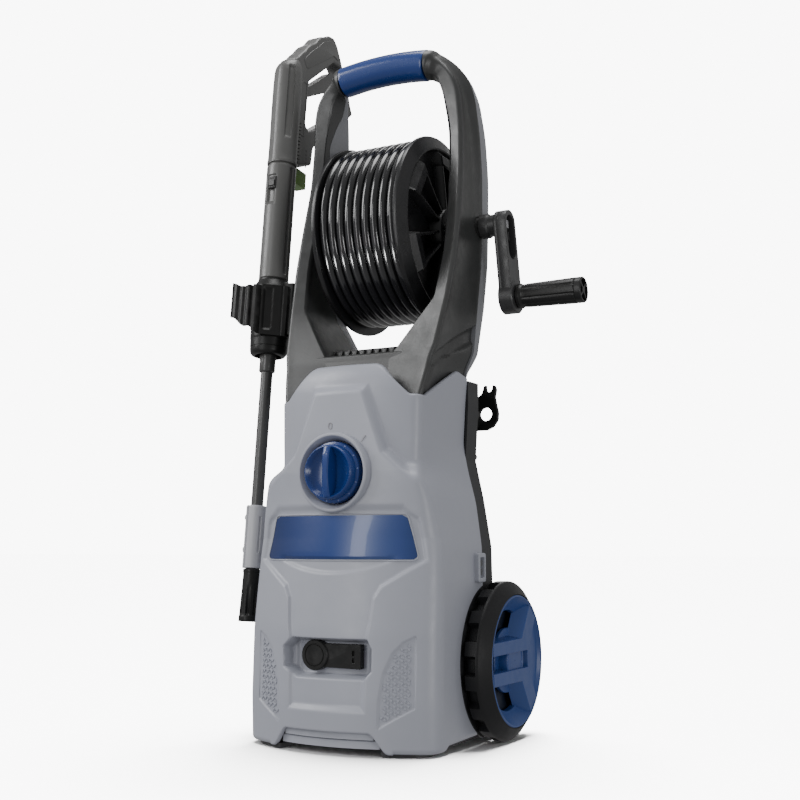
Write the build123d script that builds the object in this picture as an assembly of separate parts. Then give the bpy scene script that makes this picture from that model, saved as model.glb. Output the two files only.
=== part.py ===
from build123d import *
import math
import os

# Upright pressure washer. Millimetres, +Z up, +Y towards the back, X = 0 is the housing's middle plane.
# The origin is on the floor, under the middle of the base.

# ---- driving dimensions ----
WALL = 3.0                   # wall of every moulded shell
SEAM_Y = 38.0                # plane where the front and rear housings meet
REAR_Y = 118.0               # back of the rear housing
HOUSING_TOP = 464.0          # top edge of the front housing
REAR_TOP = 452.0             # top of the rear housing
NOTCH_Z = 422.0              # bottom of the V notches that the frame's legs drop into
BULGE = 0.0023               # the front face falls back by BULGE * x^2
CORNER = 16.0                # corner between the front face and the sides
PANEL_STATIONS = [(300, -107, 119), (350, -107, 108), (424, -103.5, 112)]
FLOOR_GAP = 8.0              # height of the side walls above the floor
FRONT_STATIONS = [(0, -130, 130), (60, -132, 131), (140, -129, 131), (240, -116, 129),
                  (300, -107, 119), (350, -101, 108), (420, -94, 112), (464, -88, 112)]

GRIP_Y = 21.0                # handle grip centre line
GRIP_Z = 885.0
GRIP_HALF = 64.5
GRIP_RISE = 5.0              # how far the grip bows upwards
TUBE_HALF = 76.0             # half length of the steel tube inside it
GRIP_R = 20.5
TUBE_R = 9.0

REEL_Y = 62.0                # reel axis
REEL_Z = 660.0
FLANGE_R = 129.5
FLANGE_X = 62.0              # outer face of each flange
FLANGE_T = 5.0
DRUM_R = 94.0
HOSE_D = 12.0
HOSE_PITCH = 12.4
HOSE_TURNS = 9
HOSE_X0 = -50.0              # centre of the first turn
COIL_R = 123.0               # outside of the wound hose
COIL_RISE = 3.5              # the wound hose sits slightly off the reel's axis
COIL_IN = 98.0               # inside of the wound hose
SHAFT_R = 8.0
BUSH_R = 13.0
FIT = 0.06                   # radial running clearance of shafts and pins

CRANK_X0 = 146.0             # inner face of the crank arm
CRANK_X1 = 163.0
CRANK_TOP_R = 18.0
CRANK_LOW_R = 20.5
CRANK_GRIP_Y = 82.0
CRANK_GRIP_Z = 566.0
CRANK_GRIP_END = 256.0

WHEEL_Y = 65.0
WHEEL_R = 98.4
RIM_R = 81.5
WHEEL_IN = 134.0
WHEEL_OUT = 166.0
AXLE_R = 6.0

KNOB_Z = 329.0
KNOB_Y = -116.0              # front of the bezel
BEZEL_R = 48.0

LANCE_X = -156.0             # plane of the gun and lance
LANCE_TILT = 5.8             # degrees that the lance leans back
LANCE_AT = (LANCE_X, -22.0, 520.0)
HOLDER_W0 = -25.0            # holder's lower and upper ends, along the lance
HOLDER_W1 = 81.7
HOLDER_BORE = 17.6
BARREL_W0 = 82.0             # foot of the gun's barrel
BARREL_W1 = 250.0            # joint between the lower and upper barrel
BARREL_R = 20.5
TIP_W0 = -378.0              # spray tip
BODY_W0 = -310.0             # nozzle body
LANCE_TUBE_W0 = -228.0
LANCE_TUBE_R = 8.0
COLLAR_W0 = 48.0             # collar under the barrel, inside the holder
COLLAR_R = 15.4

MOTOR_Y = -5.0               # motor and pump share one upright axis
MOTOR_Z0 = 215.0
MOTOR_Z1 = 385.0
MOTOR_R = 62.0
PUMP_Z0 = 75.0
PISTONS = 3
PISTON_PITCH_R = 26.0

GUN = Plane(origin=LANCE_AT, x_dir=(1, 0, 0),
            z_dir=(0, math.sin(math.radians(LANCE_TILT)), math.cos(math.radians(LANCE_TILT))))
UP = (Align.CENTER, Align.CENTER, Align.MIN)


# ---- small helpers ----
def box(x0, x1, y0, y1, z0, z1):
    return Pos((x0 + x1) / 2, (y0 + y1) / 2, (z0 + z1) / 2) * Box(x1 - x0, y1 - y0, z1 - z0)


def rod(start, end, radius):
    """Round bar between two points."""
    a, b = Vector(*start), Vector(*end)
    return Plane(origin=a, z_dir=b - a) * Cylinder(radius, (b - a).length, align=UP)


def cone(start, end, r0, r1):
    a, b = Vector(*start), Vector(*end)
    return Plane(origin=a, z_dir=b - a) * Cone(r0, r1, (b - a).length, align=UP)


def tube(start, end, outer, inner):
    return rod(start, end, outer) - rod(start, end, inner)


def prism_xz(points, y0, y1, corner=0.0):
    """Outline of (x, z) points carried along Y."""
    face = make_face(Plane.XZ * Polyline(*points, close=True))
    if corner:
        face = fillet(face.vertices(), corner)
    return Pos(0, y0, 0) * extrude(face, amount=y1 - y0, dir=(0, 1, 0))


def prism_yz(points, x0, x1, corner=0.0):
    """Outline of (y, z) points carried along X."""
    face = make_face(Plane.YZ * Polyline(*points, close=True))
    if corner:
        face = fillet(face.vertices(), corner)
    return Pos(x0, 0, 0) * extrude(face, amount=x1 - x0, dir=(1, 0, 0))


def mirrored(points):
    """A right-hand outline, closed by its mirror image about X = 0."""
    return points + [(-x, z) for x, z in reversed(points) if x > 0.01]


def joined(shapes):
    total = shapes[0]
    for shape in shapes[1:]:
        total = total + shape
    return total


# ---- housing ----
def housing_section(z, front, half, grow):
    """Plan outline of the front housing at one height."""
    w = half + grow
    y = front - grow
    edge = y + BULGE * (w - CORNER) ** 2
    side = edge + CORNER
    outline = (ThreePointArc((-(w - CORNER), edge, z), (0, y, z), (w - CORNER, edge, z))
               + Line((w - CORNER, edge, z), (w, side, z))
               + Line((w, side, z), (w, SEAM_Y, z))
               + Line((w, SEAM_Y, z), (-w, SEAM_Y, z))
               + Line((-w, SEAM_Y, z), (-w, side, z))
               + Line((-w, side, z), (-(w - CORNER), edge, z)))
    return make_face(outline)


def front_block(grow):
    """Solid of the front housing's outer form, offset by grow."""
    return loft([housing_section(z, y, w, grow) for z, y, w in FRONT_STATIONS], ruled=True)


def rear_section(z, half, grow):
    w = half + grow
    back = REAR_Y + grow
    points = [(-w, SEAM_Y, z), (-w, REAR_Y - 48, z), (-w + 26, back - 8, z), (-w + 52, back, z),
              (w - 52, back, z), (w - 26, back - 8, z), (w, REAR_Y - 48, z), (w, SEAM_Y, z)]
    return make_face(Polyline(*points, close=True))


def rear_block(grow):
    return loft([rear_section(z, w, grow) for z, _, w in FRONT_STATIONS], ruled=True)


def top_cut():
    """What is taken off the top for the V notches and the sloping shoulders."""
    right = prism_xz([(49, 470), (49, HOUSING_TOP), (99, NOTCH_Z), (140, NOTCH_Z), (140, 470)], -150, -60)
    left = mirror(right, about=Plane.YZ)
    shoulders = prism_yz([(-60, 470), (-60, NOTCH_Z + 4), (8, 462), (SEAM_Y, 457), (SEAM_Y, 470)], -140, 140)
    centre = box(-49, 49, -150, SEAM_Y, 400, 480)
    return right + left + (shoulders - centre)


def wheel_arch(side):
    """Round patch of the rear housing that shows around each wheel."""
    return rod((side * 100, WHEEL_Y, WHEEL_R), (side * 132, WHEEL_Y, WHEEL_R), ARCH_R)


ARCH_R = 97.0
POCKET = dict(x=62.0, z0=86.0, z1=134.0, floor=-104.0)
CAP_AT = (-20.0, 112.0)      # round end of the outlet cap, (x, z)


def raised_panel(grow):
    """Panel round the knob, standing proud between the slimmer shoulders."""
    block = loft([housing_section(z, y, w, grow) for z, y, w in PANEL_STATIONS], ruled=True)
    return block & prism_xz(mirrored([(28 + grow, 421 + grow), (60 + grow, 351), (90 + grow, 301)]), -160, -60)


def front_housing():
    outer = front_block(0) - top_cut() + raised_panel(0)
    inner = front_block(-WALL) + raised_panel(-WALL)
    inner = inner - box(-200, 200, -200, 200, HOUSING_TOP - 30 - WALL, 500) - box(-200, 200, -200, 200, -10, FLOOR_GAP)
    shell = outer - inner
    p = POCKET
    shell = shell + (box(-p["x"] - WALL, p["x"] + WALL, -130, p["floor"] + WALL, p["z0"] - WALL, p["z1"] + WALL)
                     & front_block(0))
    shell = shell - prism_xz([(-p["x"], p["z0"] + 8), (-p["x"] + 8, p["z0"]), (p["x"] - 8, p["z0"]),
                              (p["x"], p["z0"] + 8), (p["x"], p["z1"] - 8), (p["x"] - 8, p["z1"]),
                              (-p["x"] + 8, p["z1"]), (-p["x"], p["z1"] - 8)], -160, p["floor"])
    shell = shell - rod((0, -160, KNOB_Z), (0, -60, KNOB_Z), 44)
    shell = shell - rod((CAP_AT[0], -160, CAP_AT[1]), (CAP_AT[0], -80, CAP_AT[1]), 9)
    shell = shell - prism_xz([(-66, -1), (-51, 27), (51, 27), (66, -1)], -150, -90)
    shell = shell - prism_yz([(-92, -1), (-78, FLOOR_GAP), (SEAM_Y, FLOOR_GAP), (SEAM_Y, -1)], -140, 140)
    return shell - wheel_arch(1) - wheel_arch(-1)


def rear_solid(wall):
    """Rear housing as a solid, drawn in by wall."""
    return rear_block(-wall) - box(-200, 200, 0, 200, REAR_TOP - wall, 500) - box(-200, 200, 0, 200, -10, FLOOR_GAP)


def rear_housing():
    shell = rear_solid(0) - rear_solid(WALL) - screws()
    for side in (-1, 1):
        shell = shell + (wheel_arch(side) & (front_block(0) - front_block(-WALL)))
        shell = shell - rod((side * 90, WHEEL_Y, WHEEL_R), (side * 140, WHEEL_Y, WHEEL_R), AXLE_R)
    for row in range(7):
        z = 300 + row * 14
        shell = shell - box(-55, 55, 100, 130, z, z + 6)
    shell = shell - rod((52, 100, 170), (52, 130, 170), 11) - rod((-52, 100, 130), (-52, 130, 130), 13)
    return shell


def base_pan():
    """Black floor of the machine, with the pad that it rests on under the origin."""
    rim = (front_block(-WALL - 0.2) + rear_block(-WALL - 0.2)) & box(-200, 200, -200, 200, FLOOR_GAP, 34)
    pan = rim - box(-118, 118, -104, 106, FLOOR_GAP + WALL, 40)
    pan = pan & box(-200, 200, -110, 200, 0, 60)
    pad = box(-40, 40, -40, 40, 0, FLOOR_GAP)
    posts = [rod((x, MOTOR_Y + y, FLOOR_GAP), (x, MOTOR_Y + y, 62), 7) for x in (-42, 42) for y in (-35, 35)]
    return joined([pan, pad] + posts)


def skin(points, low, high, corner):
    """Thin plate that follows the curved front, inside an (x, z) outline."""
    return (front_block(high) - front_block(low)) & prism_xz(points, -160, -60, corner)


def label_plate():
    return skin([(-102, 224), (102, 224), (95, 276), (-95, 276)], 0, 1.4, 6)


def knob_bezel():
    ring = tube((0, KNOB_Y, KNOB_Z), (0, -96, KNOB_Z), BEZEL_R, 43.0)
    ring = ring + tube((0, -100, KNOB_Z), (0, -96, KNOB_Z), BEZEL_R, 36.0)
    return ring - (front_block(0) + raised_panel(0) - rod((0, -160, KNOB_Z), (0, -60, KNOB_Z), 44))


def nozzle_clip():
    """Small socket on the right side that holds a spare nozzle."""
    return box(126, 137, 14, 36, 196, 232) - box(132, 140, 20, 33, 202, 226) - front_block(0)


def cable_hook():
    """Plate hook for the cable, at the back on the right, with an open clip on top."""
    plate = prism_xz([(78, 393), (106, 393), (116, 404), (116, 438), (112, 441), (78, 441)], 122, 130, 3)
    plate = plate - rod((99, 110, 418), (99, 140, 418), 9.5)
    clip = tube((104, 122, 449), (104, 130, 449), 9, 6) - box(100.5, 107.5, 110, 140, 450, 470)
    foot = box(62, 82, REAR_Y - 12, 130, 396, 438) - rear_block(0)
    return plate + clip + foot


# ---- frame and handle ----
FRAME_SEAM = [(36, 400), (44, 489), (50, 527), (62, 600), (66, 680), (64, 760), (42, 842), (30, 880), (21, 912),
              (160, 912), (160, 400)]
# right leg, upwards: inner (x, z), outer (x, z), x of the front face's outer edge, then y of front, seam and back
LEG = [((45, 404), (106, 404), 95, -78, 34, 38),
       ((45, 424), (110, 424), 101, -73, 38, 42),
       ((43, 474), (115, 474), 107.5, -57, 46, 62),
       ((95, 552), (120.5, 552), 115.5, -32, 52, 82),
       ((100, 610), (122, 610), 119, -16, 62, 93),
       ((99, 665), (122, 665), 118, -2, 66, 97),
       ((97, 735), (121.5, 735), 114.5, 14, 68, 100),
       ((95, 790), (121, 790), 112.5, 18, 62, 93),
       ((86, 840), (119, 842), 109, 15, 52, 78),
       ((73, 863), (104, 878), 94, 4, 42, 56)]
GRIP_END = [(0.1, 8), (0.9, 6), (1, GRIP_Y), (0.9, 36), (0.1, 34), (0, GRIP_Y)]


def leg_section(station, inset):
    """Flat outline of the leg between its inner and outer edges."""
    inner, outer, front_x, front, seam, back = station
    span = outer[0] - inner[0]
    low = inset / span
    high = 1 - low
    share = (front_x - inner[0]) / span
    spots = [(low, front + 4 + inset), (min(share, high), front + inset), (high, seam), (high - 0.04, back - inset),
             (low + 0.08, back - inset), (low, (front + back) / 2)]
    return edge_face(inner, outer, spots)


def edge_face(inner, outer, spots):
    points = []
    for t, y in spots:
        points.append((inner[0] + t * (outer[0] - inner[0]), y, inner[1] + t * (outer[1] - inner[1])))
    return make_face(Polyline(*points, close=True))


def frame_leg(inset, stations):
    return loft([leg_section(station, inset) for station in stations], ruled=True)


def frame_block(inset):
    """Both legs, the bar across their feet and the elbows up to the grip."""
    if inset:
        leg = frame_leg(inset, LEG[1:-1])
        return leg + mirror(leg, about=Plane.YZ)
    elbow = loft([leg_section(LEG[-1], 0),
                  edge_face((GRIP_HALF, GRIP_Z - 5 - GRIP_R), (GRIP_HALF, GRIP_Z - 5 + GRIP_R), GRIP_END)], ruled=True)
    leg = frame_leg(0, LEG) + elbow
    return leg + mirror(leg, about=Plane.YZ) + box(-60, 60, -64, 44, 440, 474)


def frame_ring():
    """The whole hollow frame, cleared for the housing, the grip, the bushes and the screws."""
    ring = frame_block(0) - frame_block(WALL) - box(-57, 57, -61, 41, 430, 471)
    ring = ring - (front_block(0) - top_cut()) - rear_solid(0)
    ring = ring - rod((-130, REEL_Y, REEL_Z), (130, REEL_Y, REEL_Z), BUSH_R)
    ring = ring - arc_bar(GRIP_R, GRIP_HALF) - hose_swivel()
    return ring - arc_bar(TUBE_R, TUBE_HALF) - screws()


def frame_front_shell():
    return frame_ring() - prism_yz(FRAME_SEAM, -160, 160)


def frame_rear_shell():
    return frame_ring() & prism_yz(FRAME_SEAM, -160, 160)


def arc_bar(radius, half):
    """Bar along the bowed line of the handle."""
    drop = GRIP_RISE * (half / GRIP_HALF) ** 2
    line = ThreePointArc((-half, GRIP_Y, GRIP_Z - drop), (0, GRIP_Y, GRIP_Z), (half, GRIP_Y, GRIP_Z - drop))
    return sweep(Plane(origin=line @ 0, z_dir=line % 0) * Circle(radius), path=line)


def handle_tube():
    return arc_bar(TUBE_R, TUBE_HALF)


def handle_grip():
    return arc_bar(GRIP_R, GRIP_HALF) - arc_bar(TUBE_R, TUBE_HALF)


def reel_bushes():
    """Bearing bushes that carry the reel shaft in the two legs."""
    bushes = []
    for side in (-1, 1):
        bushes.append(tube((side * 97, REEL_Y, REEL_Z), (side * 122, REEL_Y, REEL_Z), BUSH_R, SHAFT_R + FIT))
    return joined(bushes)


def lance_holder():
    """Sleeve and open clip on the left leg that carry the gun and lance."""
    sleeve = GUN * (Pos(0, 0, HOLDER_W0) * Cylinder(23, HOLDER_W1 - HOLDER_W0, align=UP))
    lug = GUN * (Pos(27, 6, 0) * Box(20, 26, 80, align=UP))
    jaws = []
    for side in (-1, 1):
        strip = Pos(side * 18, -26, 5) * (Rot(0, 0, side * 40) * Box(5, 28, 68, align=UP))
        tip = Pos(side * 31, -36, 5) * (Rot(0, 0, side * 75) * Box(5, 16, 68, align=UP))
        jaws.append(GUN * (strip + tip))
    holder = joined([sleeve, lug] + jaws)
    bore = GUN * (Pos(0, 0, HOLDER_W0 - 5) * Cylinder(HOLDER_BORE, 120, align=UP))
    return holder - bore - frame_block(0)


# ---- reel ----
def reel_flange(side):
    """Dished disc with a raised outer ring, ribs and a hub."""
    x_in = side * (FLANGE_X - FLANGE_T)
    x_out = side * FLANGE_X
    disc = rod((x_in, REEL_Y, REEL_Z), (x_out, REEL_Y, REEL_Z), FLANGE_R)
    ring = tube((x_out, REEL_Y, REEL_Z), (x_out + side * 8, REEL_Y, REEL_Z), FLANGE_R, FLANGE_R - 14)
    hub = rod((x_out, REEL_Y, REEL_Z), (x_out + side * 16, REEL_Y, REEL_Z), 30)
    ribs = []
    for i in range(6):
        rib = Pos(x_out + side * 5, 0, 72) * Box(10, 12, 96)
        ribs.append(Pos(0, REEL_Y, REEL_Z) * Rot(i * 60 + 20, 0, 0) * rib)
    disc = joined([disc, ring, hub] + ribs)
    return disc - rod((side * 40, REEL_Y, REEL_Z), (side * 90, REEL_Y, REEL_Z), SHAFT_R)


def reel_drum():
    inner = FLANGE_X - FLANGE_T
    return tube((-inner, REEL_Y, REEL_Z), (inner, REEL_Y, REEL_Z), DRUM_R, DRUM_R - 4)


def connector_rod(radius, grow):
    """Straight fitting at the hose's free end, lying in the last turn's place at the back of the coil."""
    x = HOSE_X0 + (HOSE_TURNS - 1) * HOSE_PITCH
    y = REEL_Y + COIL_R - HOSE_D / 2
    return rod((x, y, REEL_Z - 18 - grow), (x, y, REEL_Z + 22 + grow), radius + grow)


def hose_coil():
    x0 = HOSE_X0 - HOSE_PITCH / 2
    x1 = x0 + HOSE_TURNS * HOSE_PITCH
    z = REEL_Z + COIL_RISE
    coil = tube((x0, REEL_Y, z), (x1, REEL_Y, z), COIL_R, COIL_IN)
    return coil - connector_rod(7.0, 0.2)


def hose_connector():
    return connector_rod(7.0, 0)


def reel_shaft():
    """Shaft through both legs, with a square end for the crank."""
    shaft = rod((-126, REEL_Y, REEL_Z), (CRANK_X0 - 4, REEL_Y, REEL_Z), SHAFT_R)
    end = box(CRANK_X0 - 4, CRANK_X1 - 4, REEL_Y - 5, REEL_Y + 5, REEL_Z - 5, REEL_Z + 5)
    return shaft + end


def crank_axis(x):
    return (x, CRANK_GRIP_Y, CRANK_GRIP_Z)


def crank_arm():
    hub = rod((124, REEL_Y, REEL_Z), (CRANK_X0, REEL_Y, REEL_Z), 11)
    top = rod((CRANK_X0, REEL_Y, REEL_Z), (CRANK_X1, REEL_Y, REEL_Z), CRANK_TOP_R)
    low = rod(crank_axis(CRANK_X0 - 2), crank_axis(CRANK_X1), CRANK_LOW_R)
    dy, dz = CRANK_GRIP_Y - REEL_Y, CRANK_GRIP_Z - REEL_Z
    length = math.hypot(dy, dz)
    ny, nz = -dz / length, dy / length
    web = prism_yz([(REEL_Y + 12 * ny, REEL_Z + 12 * nz), (CRANK_GRIP_Y + 16 * ny, CRANK_GRIP_Z + 16 * nz),
                    (CRANK_GRIP_Y - 16 * ny, CRANK_GRIP_Z - 16 * nz), (REEL_Y - 12 * ny, REEL_Z - 12 * nz)],
                   CRANK_X0, CRANK_X1)
    arm = joined([top, web, low])
    pocket = rod((CRANK_X1 - 7, REEL_Y, REEL_Z), (CRANK_X1 + 1, REEL_Y, REEL_Z), 11)
    arm = (arm - pocket) + hub
    arm = arm - rod((120, REEL_Y, REEL_Z), (CRANK_X0 - 4, REEL_Y, REEL_Z), SHAFT_R)
    arm = arm - box(CRANK_X0 - 5, CRANK_X1 - 4, REEL_Y - 5, REEL_Y + 5, REEL_Z - 5, REEL_Z + 5)
    return arm - rod(crank_axis(CRANK_X0 - 3), crank_axis(CRANK_X1 + 2), 5)


def crank_pin():
    """Steel pin that the crank grip turns on, fixed in the arm."""
    pin = rod(crank_axis(CRANK_X0 - 2), crank_axis(CRANK_GRIP_END - 8), 5)
    return pin + rod(crank_axis(CRANK_X0 - 5), crank_axis(CRANK_X0 - 2), 9)


def crank_grip():
    start = CRANK_X1 + 0.6
    neck = rod(crank_axis(start), crank_axis(start + 10), 13)
    body = cone(crank_axis(start + 10), crank_axis(CRANK_GRIP_END), 15.5, 17)
    return (neck + body) - rod(crank_axis(start - 1), crank_axis(CRANK_GRIP_END - 7), 5 + FIT)


# ---- wheels ----
def tyre(side):
    ring = tube((side * WHEEL_IN, WHEEL_Y, WHEEL_R), (side * WHEEL_OUT, WHEEL_Y, WHEEL_R), WHEEL_R, RIM_R)
    blocks = 15
    cuts = []
    for i in range(blocks):
        a = 2 * math.pi * (i + 0.5) / blocks
        y, z = WHEEL_Y + (WHEEL_R + 3) * math.sin(a), WHEEL_R - (WHEEL_R + 3) * math.cos(a)
        cuts.append(rod((side * (WHEEL_IN - 1), y, z), (side * (WHEEL_IN + 14), y, z), 9))
    for cut in cuts:
        ring = ring - cut
    return ring


def rim(side):
    """Blue wheel disc with four windows and a long hub."""
    x0, x1 = side * (WHEEL_IN + 16), side * WHEEL_OUT
    disc = rod((x0, WHEEL_Y, WHEEL_R), (x1, WHEEL_Y, WHEEL_R), RIM_R)
    band = tube((side * WHEEL_IN, WHEEL_Y, WHEEL_R), (x0, WHEEL_Y, WHEEL_R), RIM_R, RIM_R - 5)
    hub = rod((side * WHEEL_IN, WHEEL_Y, WHEEL_R), (x0, WHEEL_Y, WHEEL_R), 17)
    wheel = joined([disc, band, hub])
    for flip in (-1, 1):
        outer = [(-44, 30 * flip), (-6, 30 * flip), (10, 60 * flip), (-30, 62 * flip)]
        points = [(WHEEL_Y + y, WHEEL_R + z) for y, z in outer]
        wheel = wheel - prism_yz(points, min(x0, x1) - 1, max(x0, x1) + 1)
    wheel = wheel - box(min(x0, x1) - 1, max(x0, x1) + 1, WHEEL_Y - 62, WHEEL_Y - 20, WHEEL_R - 10, WHEEL_R + 10)
    bore = rod((side * (WHEEL_IN - 1), WHEEL_Y, WHEEL_R), (side * (WHEEL_OUT - 5), WHEEL_Y, WHEEL_R), AXLE_R + FIT)
    return wheel - bore


def axle():
    return rod((-158, WHEEL_Y, WHEEL_R), (158, WHEEL_Y, WHEEL_R), AXLE_R)


def axle_washers():
    rings = []
    for side in (-1, 1):
        rings.append(tube((side * 131.2, WHEEL_Y, WHEEL_R), (side * 133.6, WHEEL_Y, WHEEL_R), 14, AXLE_R))
    return joined(rings)


# ---- knob, cap ----
def power_knob():
    rim_disc = rod((0, -111, KNOB_Z), (0, -103, KNOB_Z), 42.5)
    face = rod((0, -126, KNOB_Z), (0, -111, KNOB_Z), 34.5) - cone((0, -127, KNOB_Z), (0, -113, KNOB_Z), 32, 26)
    bar = prism_xz([(-6, KNOB_Z - 30), (6, KNOB_Z - 30), (5, KNOB_Z + 30), (-5, KNOB_Z + 30)], -131, -112, 3)
    stem = rod((0, -103, KNOB_Z), (0, -72, KNOB_Z), 6)
    return joined([rim_disc, face, bar, stem])


def outlet_cap():
    """Cap with a pull tab, in the front pocket. It pulls straight out."""
    floor = POCKET["floor"]
    x, z = CAP_AT
    disc = rod((x, floor - 14, z), (x, floor - 0.4, z), 18)
    tab = box(x, x + 62, floor - 12, floor - 3, z - 14, z + 14) - box(x + 47, x + 52, floor - 14, floor - 9, z - 7, z + 7)
    stem = rod((x, floor - 1, z), (x, floor + 14, z), 9 - FIT)
    return joined([disc, tab, stem])


# ---- gun and lance ----
GUN_OUTLINE = [(-16, 252), (-16, 396), (-6, 412), (5, 420), (25, 445), (47, 466), (60, 480), (80, 492), (95, 495),
               (106, 487), (121, 466), (145, 423), (161, 399), (130, 367), (84, 330), (58, 300), (56, 273), (20, 258),
               (14, 252)]
GUN_OPENING = [(34, 327), (43, 321), (52, 326), (125, 383), (138, 410), (118, 458), (99, 456), (36, 395)]
TRIGGER_AT = (28.0, 384.0)   # trigger pivot, in the gun's own plane
TRIGGER_OUTLINE = [(20, 378), (40, 373), (88, 403), (118, 420), (126, 430), (114, 440), (98, 440), (42, 390), (20, 390)]
GUN_HALF = 13.0              # half thickness of the grip
TRIGGER_HALF = 8.0


def gun_face(points):
    return make_face(Plane.YZ * Polyline(*points, close=True))


def gun_plate(points, x0, x1, corner=0.0):
    face = gun_face(points)
    if corner:
        face = fillet(face.vertices(), corner)
    return GUN * (Pos(x0, 0, 0) * extrude(face, amount=x1 - x0, dir=(1, 0, 0)))


def gun_rod(w0, w1, radius, v=0.0):
    return GUN * (Pos(0, v, w0) * Cylinder(radius, w1 - w0, align=UP))


def gun_round(radius):
    barrel = gun_rod(BARREL_W1, 404, radius)
    return barrel + GUN * (Pos(0, 0, 404) * Cone(radius, radius * 0.45, 16, align=UP))


def gun_shell(side):
    """One half of the gun: barrel half, grip half and trigger guard half, split in the lance's plane."""
    x0, x1 = (0, GUN_HALF) if side > 0 else (-GUN_HALF, 0)
    deep = GUN_HALF - WALL
    keep = GUN * (Pos(side * 50, 100, 380) * Box(100, 400, 400))
    half = gun_plate(GUN_OUTLINE, x0, x1, 4) + (gun_round(BARREL_R) & keep)
    inside = GUN * (Pos(-deep, 0, 0) * extrude(offset(gun_face(GUN_OUTLINE), -WALL, kind=Kind.INTERSECTION),
                                               amount=2 * deep, dir=(1, 0, 0)))
    room = GUN * (Pos(0, 100, 380) * Box(60, 400, 236))
    web = GUN * (Pos(-20, 0, 0) * extrude(offset(gun_face(GUN_OPENING), WALL, kind=Kind.INTERSECTION),
                                          amount=40, dir=(1, 0, 0)))
    half = half - (((inside + gun_round(BARREL_R - WALL)) & room) - web)
    half = half - gun_plate(GUN_OPENING, -20, 20, 3)
    ear = GUN * (Pos(0, 28, 384) * Box(2 * TRIGGER_HALF + 0.8, 34, 32))
    pin = GUN * (Pos(-11.6, *TRIGGER_AT) * Rot(0, 90, 0) * Cylinder(3 + FIT, 23.2, align=UP))
    return (half - gun_rod(240, 300, 9)) - ear - pin


def trigger():
    """Lever inside the guard, with trunnions near the barrel."""
    lever = gun_plate(TRIGGER_OUTLINE, -TRIGGER_HALF, TRIGGER_HALF, 1.5)
    return lever + GUN * (Pos(-11.4, *TRIGGER_AT) * Rot(0, 90, 0) * Cylinder(3, 22.8, align=UP))


def gun_valve():
    """Brass valve body inside the upper barrel."""
    return gun_rod(300, 362, 8.5, v=-6) + gun_rod(250, 300, 8.5)


def gun_barrel():
    """Lower barrel that the lance plugs into, with a collar that sits in the holder's mouth."""
    barrel = gun_rod(BARREL_W0, BARREL_W1 - 0.5, BARREL_R) + gun_rod(COLLAR_W0, BARREL_W0, COLLAR_R)
    barrel = barrel - gun_rod(COLLAR_W0 - 1, BARREL_W1 + 1, LANCE_TUBE_R)
    barrel = barrel - GUN * (Pos(0, -BARREL_R, 209.2) * Box(13, 10, 38.4))
    return barrel - latch_stem(0.35)


def pressure_selector():
    """Small slider in the front of the lower barrel."""
    return GUN * (Pos(0, -BARREL_R + 1.2, 219) * Box(12.2, 6, 18))


def lance_latch():
    """Release button below the gun's body that frees the lance."""
    return GUN * (Pos(0, 37, 234) * Box(16, 27, 23.6, align=UP)) + latch_stem(0)


def latch_stem(gap):
    """Stem of the button, or with a gap the hole for it, which is deeper by the button's travel."""
    start = 10.6 - 9 * gap
    return GUN * (Pos(0, start, 242) * Rot(-90, 0, 0) * Cylinder(5 + gap, 24 - start, align=UP))


def lance_tube():
    return gun_rod(LANCE_TUBE_W0, BARREL_W1 - 0.5, LANCE_TUBE_R)


def nozzle_body():
    return gun_rod(BODY_W0, LANCE_TUBE_W0, 13) + GUN * (Pos(0, 11, -288) * Box(6, 8, 50, align=UP))


def nozzle_tip():
    tip = GUN * (Pos(0, 0, TIP_W0) * Cone(14, 12, -TIP_W0 + BODY_W0 - 0.4, align=UP))
    flutes = []
    for i in range(8):
        flute = Rot(0, 0, i * 45) * (Pos(15.2, 0, TIP_W0 + 12) * Cylinder(3, 44, align=UP))
        flutes.append(GUN * flute)
    for flute in flutes:
        tip = tip - flute
    return tip - gun_rod(TIP_W0 - 1, TIP_W0 + 20, 5)


# ---- motor and pump ----
def upright(r, z0, z1, x=0.0, y=0.0):
    return rod((x, MOTOR_Y + y, z0), (x, MOTOR_Y + y, z1), r)


def motor_housing():
    return upright(MOTOR_R, MOTOR_Z0, MOTOR_Z1) - upright(MOTOR_R - 3, MOTOR_Z0 + 5, MOTOR_Z1 - 5) \
        - upright(12, MOTOR_Z0 - 1, MOTOR_Z1 + 1)


def stator():
    return upright(MOTOR_R - 3.2, MOTOR_Z0 + 40, MOTOR_Z1 - 40) - upright(32, MOTOR_Z0 + 39, MOTOR_Z1 - 39)


def motor_bearings():
    lower = upright(12, MOTOR_Z0 - 1, MOTOR_Z0 + 6) - upright(6 + FIT, MOTOR_Z0 - 2, MOTOR_Z0 + 7)
    upper = upright(12, MOTOR_Z1 - 6, MOTOR_Z1 + 1) - upright(6 + FIT, MOTOR_Z1 - 7, MOTOR_Z1 + 2)
    return lower + upper


def rotor():
    return upright(31, MOTOR_Z0 + 42, MOTOR_Z1 - 42) + upright(6, 186, MOTOR_Z1 + 20)


def cooling_fan():
    hub = upright(14, MOTOR_Z1 + 3, MOTOR_Z1 + 19)
    blades = [hub]
    for i in range(9):
        blade = Pos(0, 0, MOTOR_Z1 + 4) * (Rot(0, 0, i * 40) * (Pos(32, 0, 0) * Box(44, 2, 14, align=UP)))
        blades.append(Pos(0, MOTOR_Y, 0) * blade)
    return joined(blades) - upright(6, MOTOR_Z1, MOTOR_Z1 + 25)


def swash_plate():
    """Slanted disc that drives the pistons."""
    block = upright(37, 186, 212)
    low = Pos(0, MOTOR_Y, 186) * Rot(9, 0, 0) * Box(120, 120, 12)
    return block - low - upright(6, 180, 220)


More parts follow.
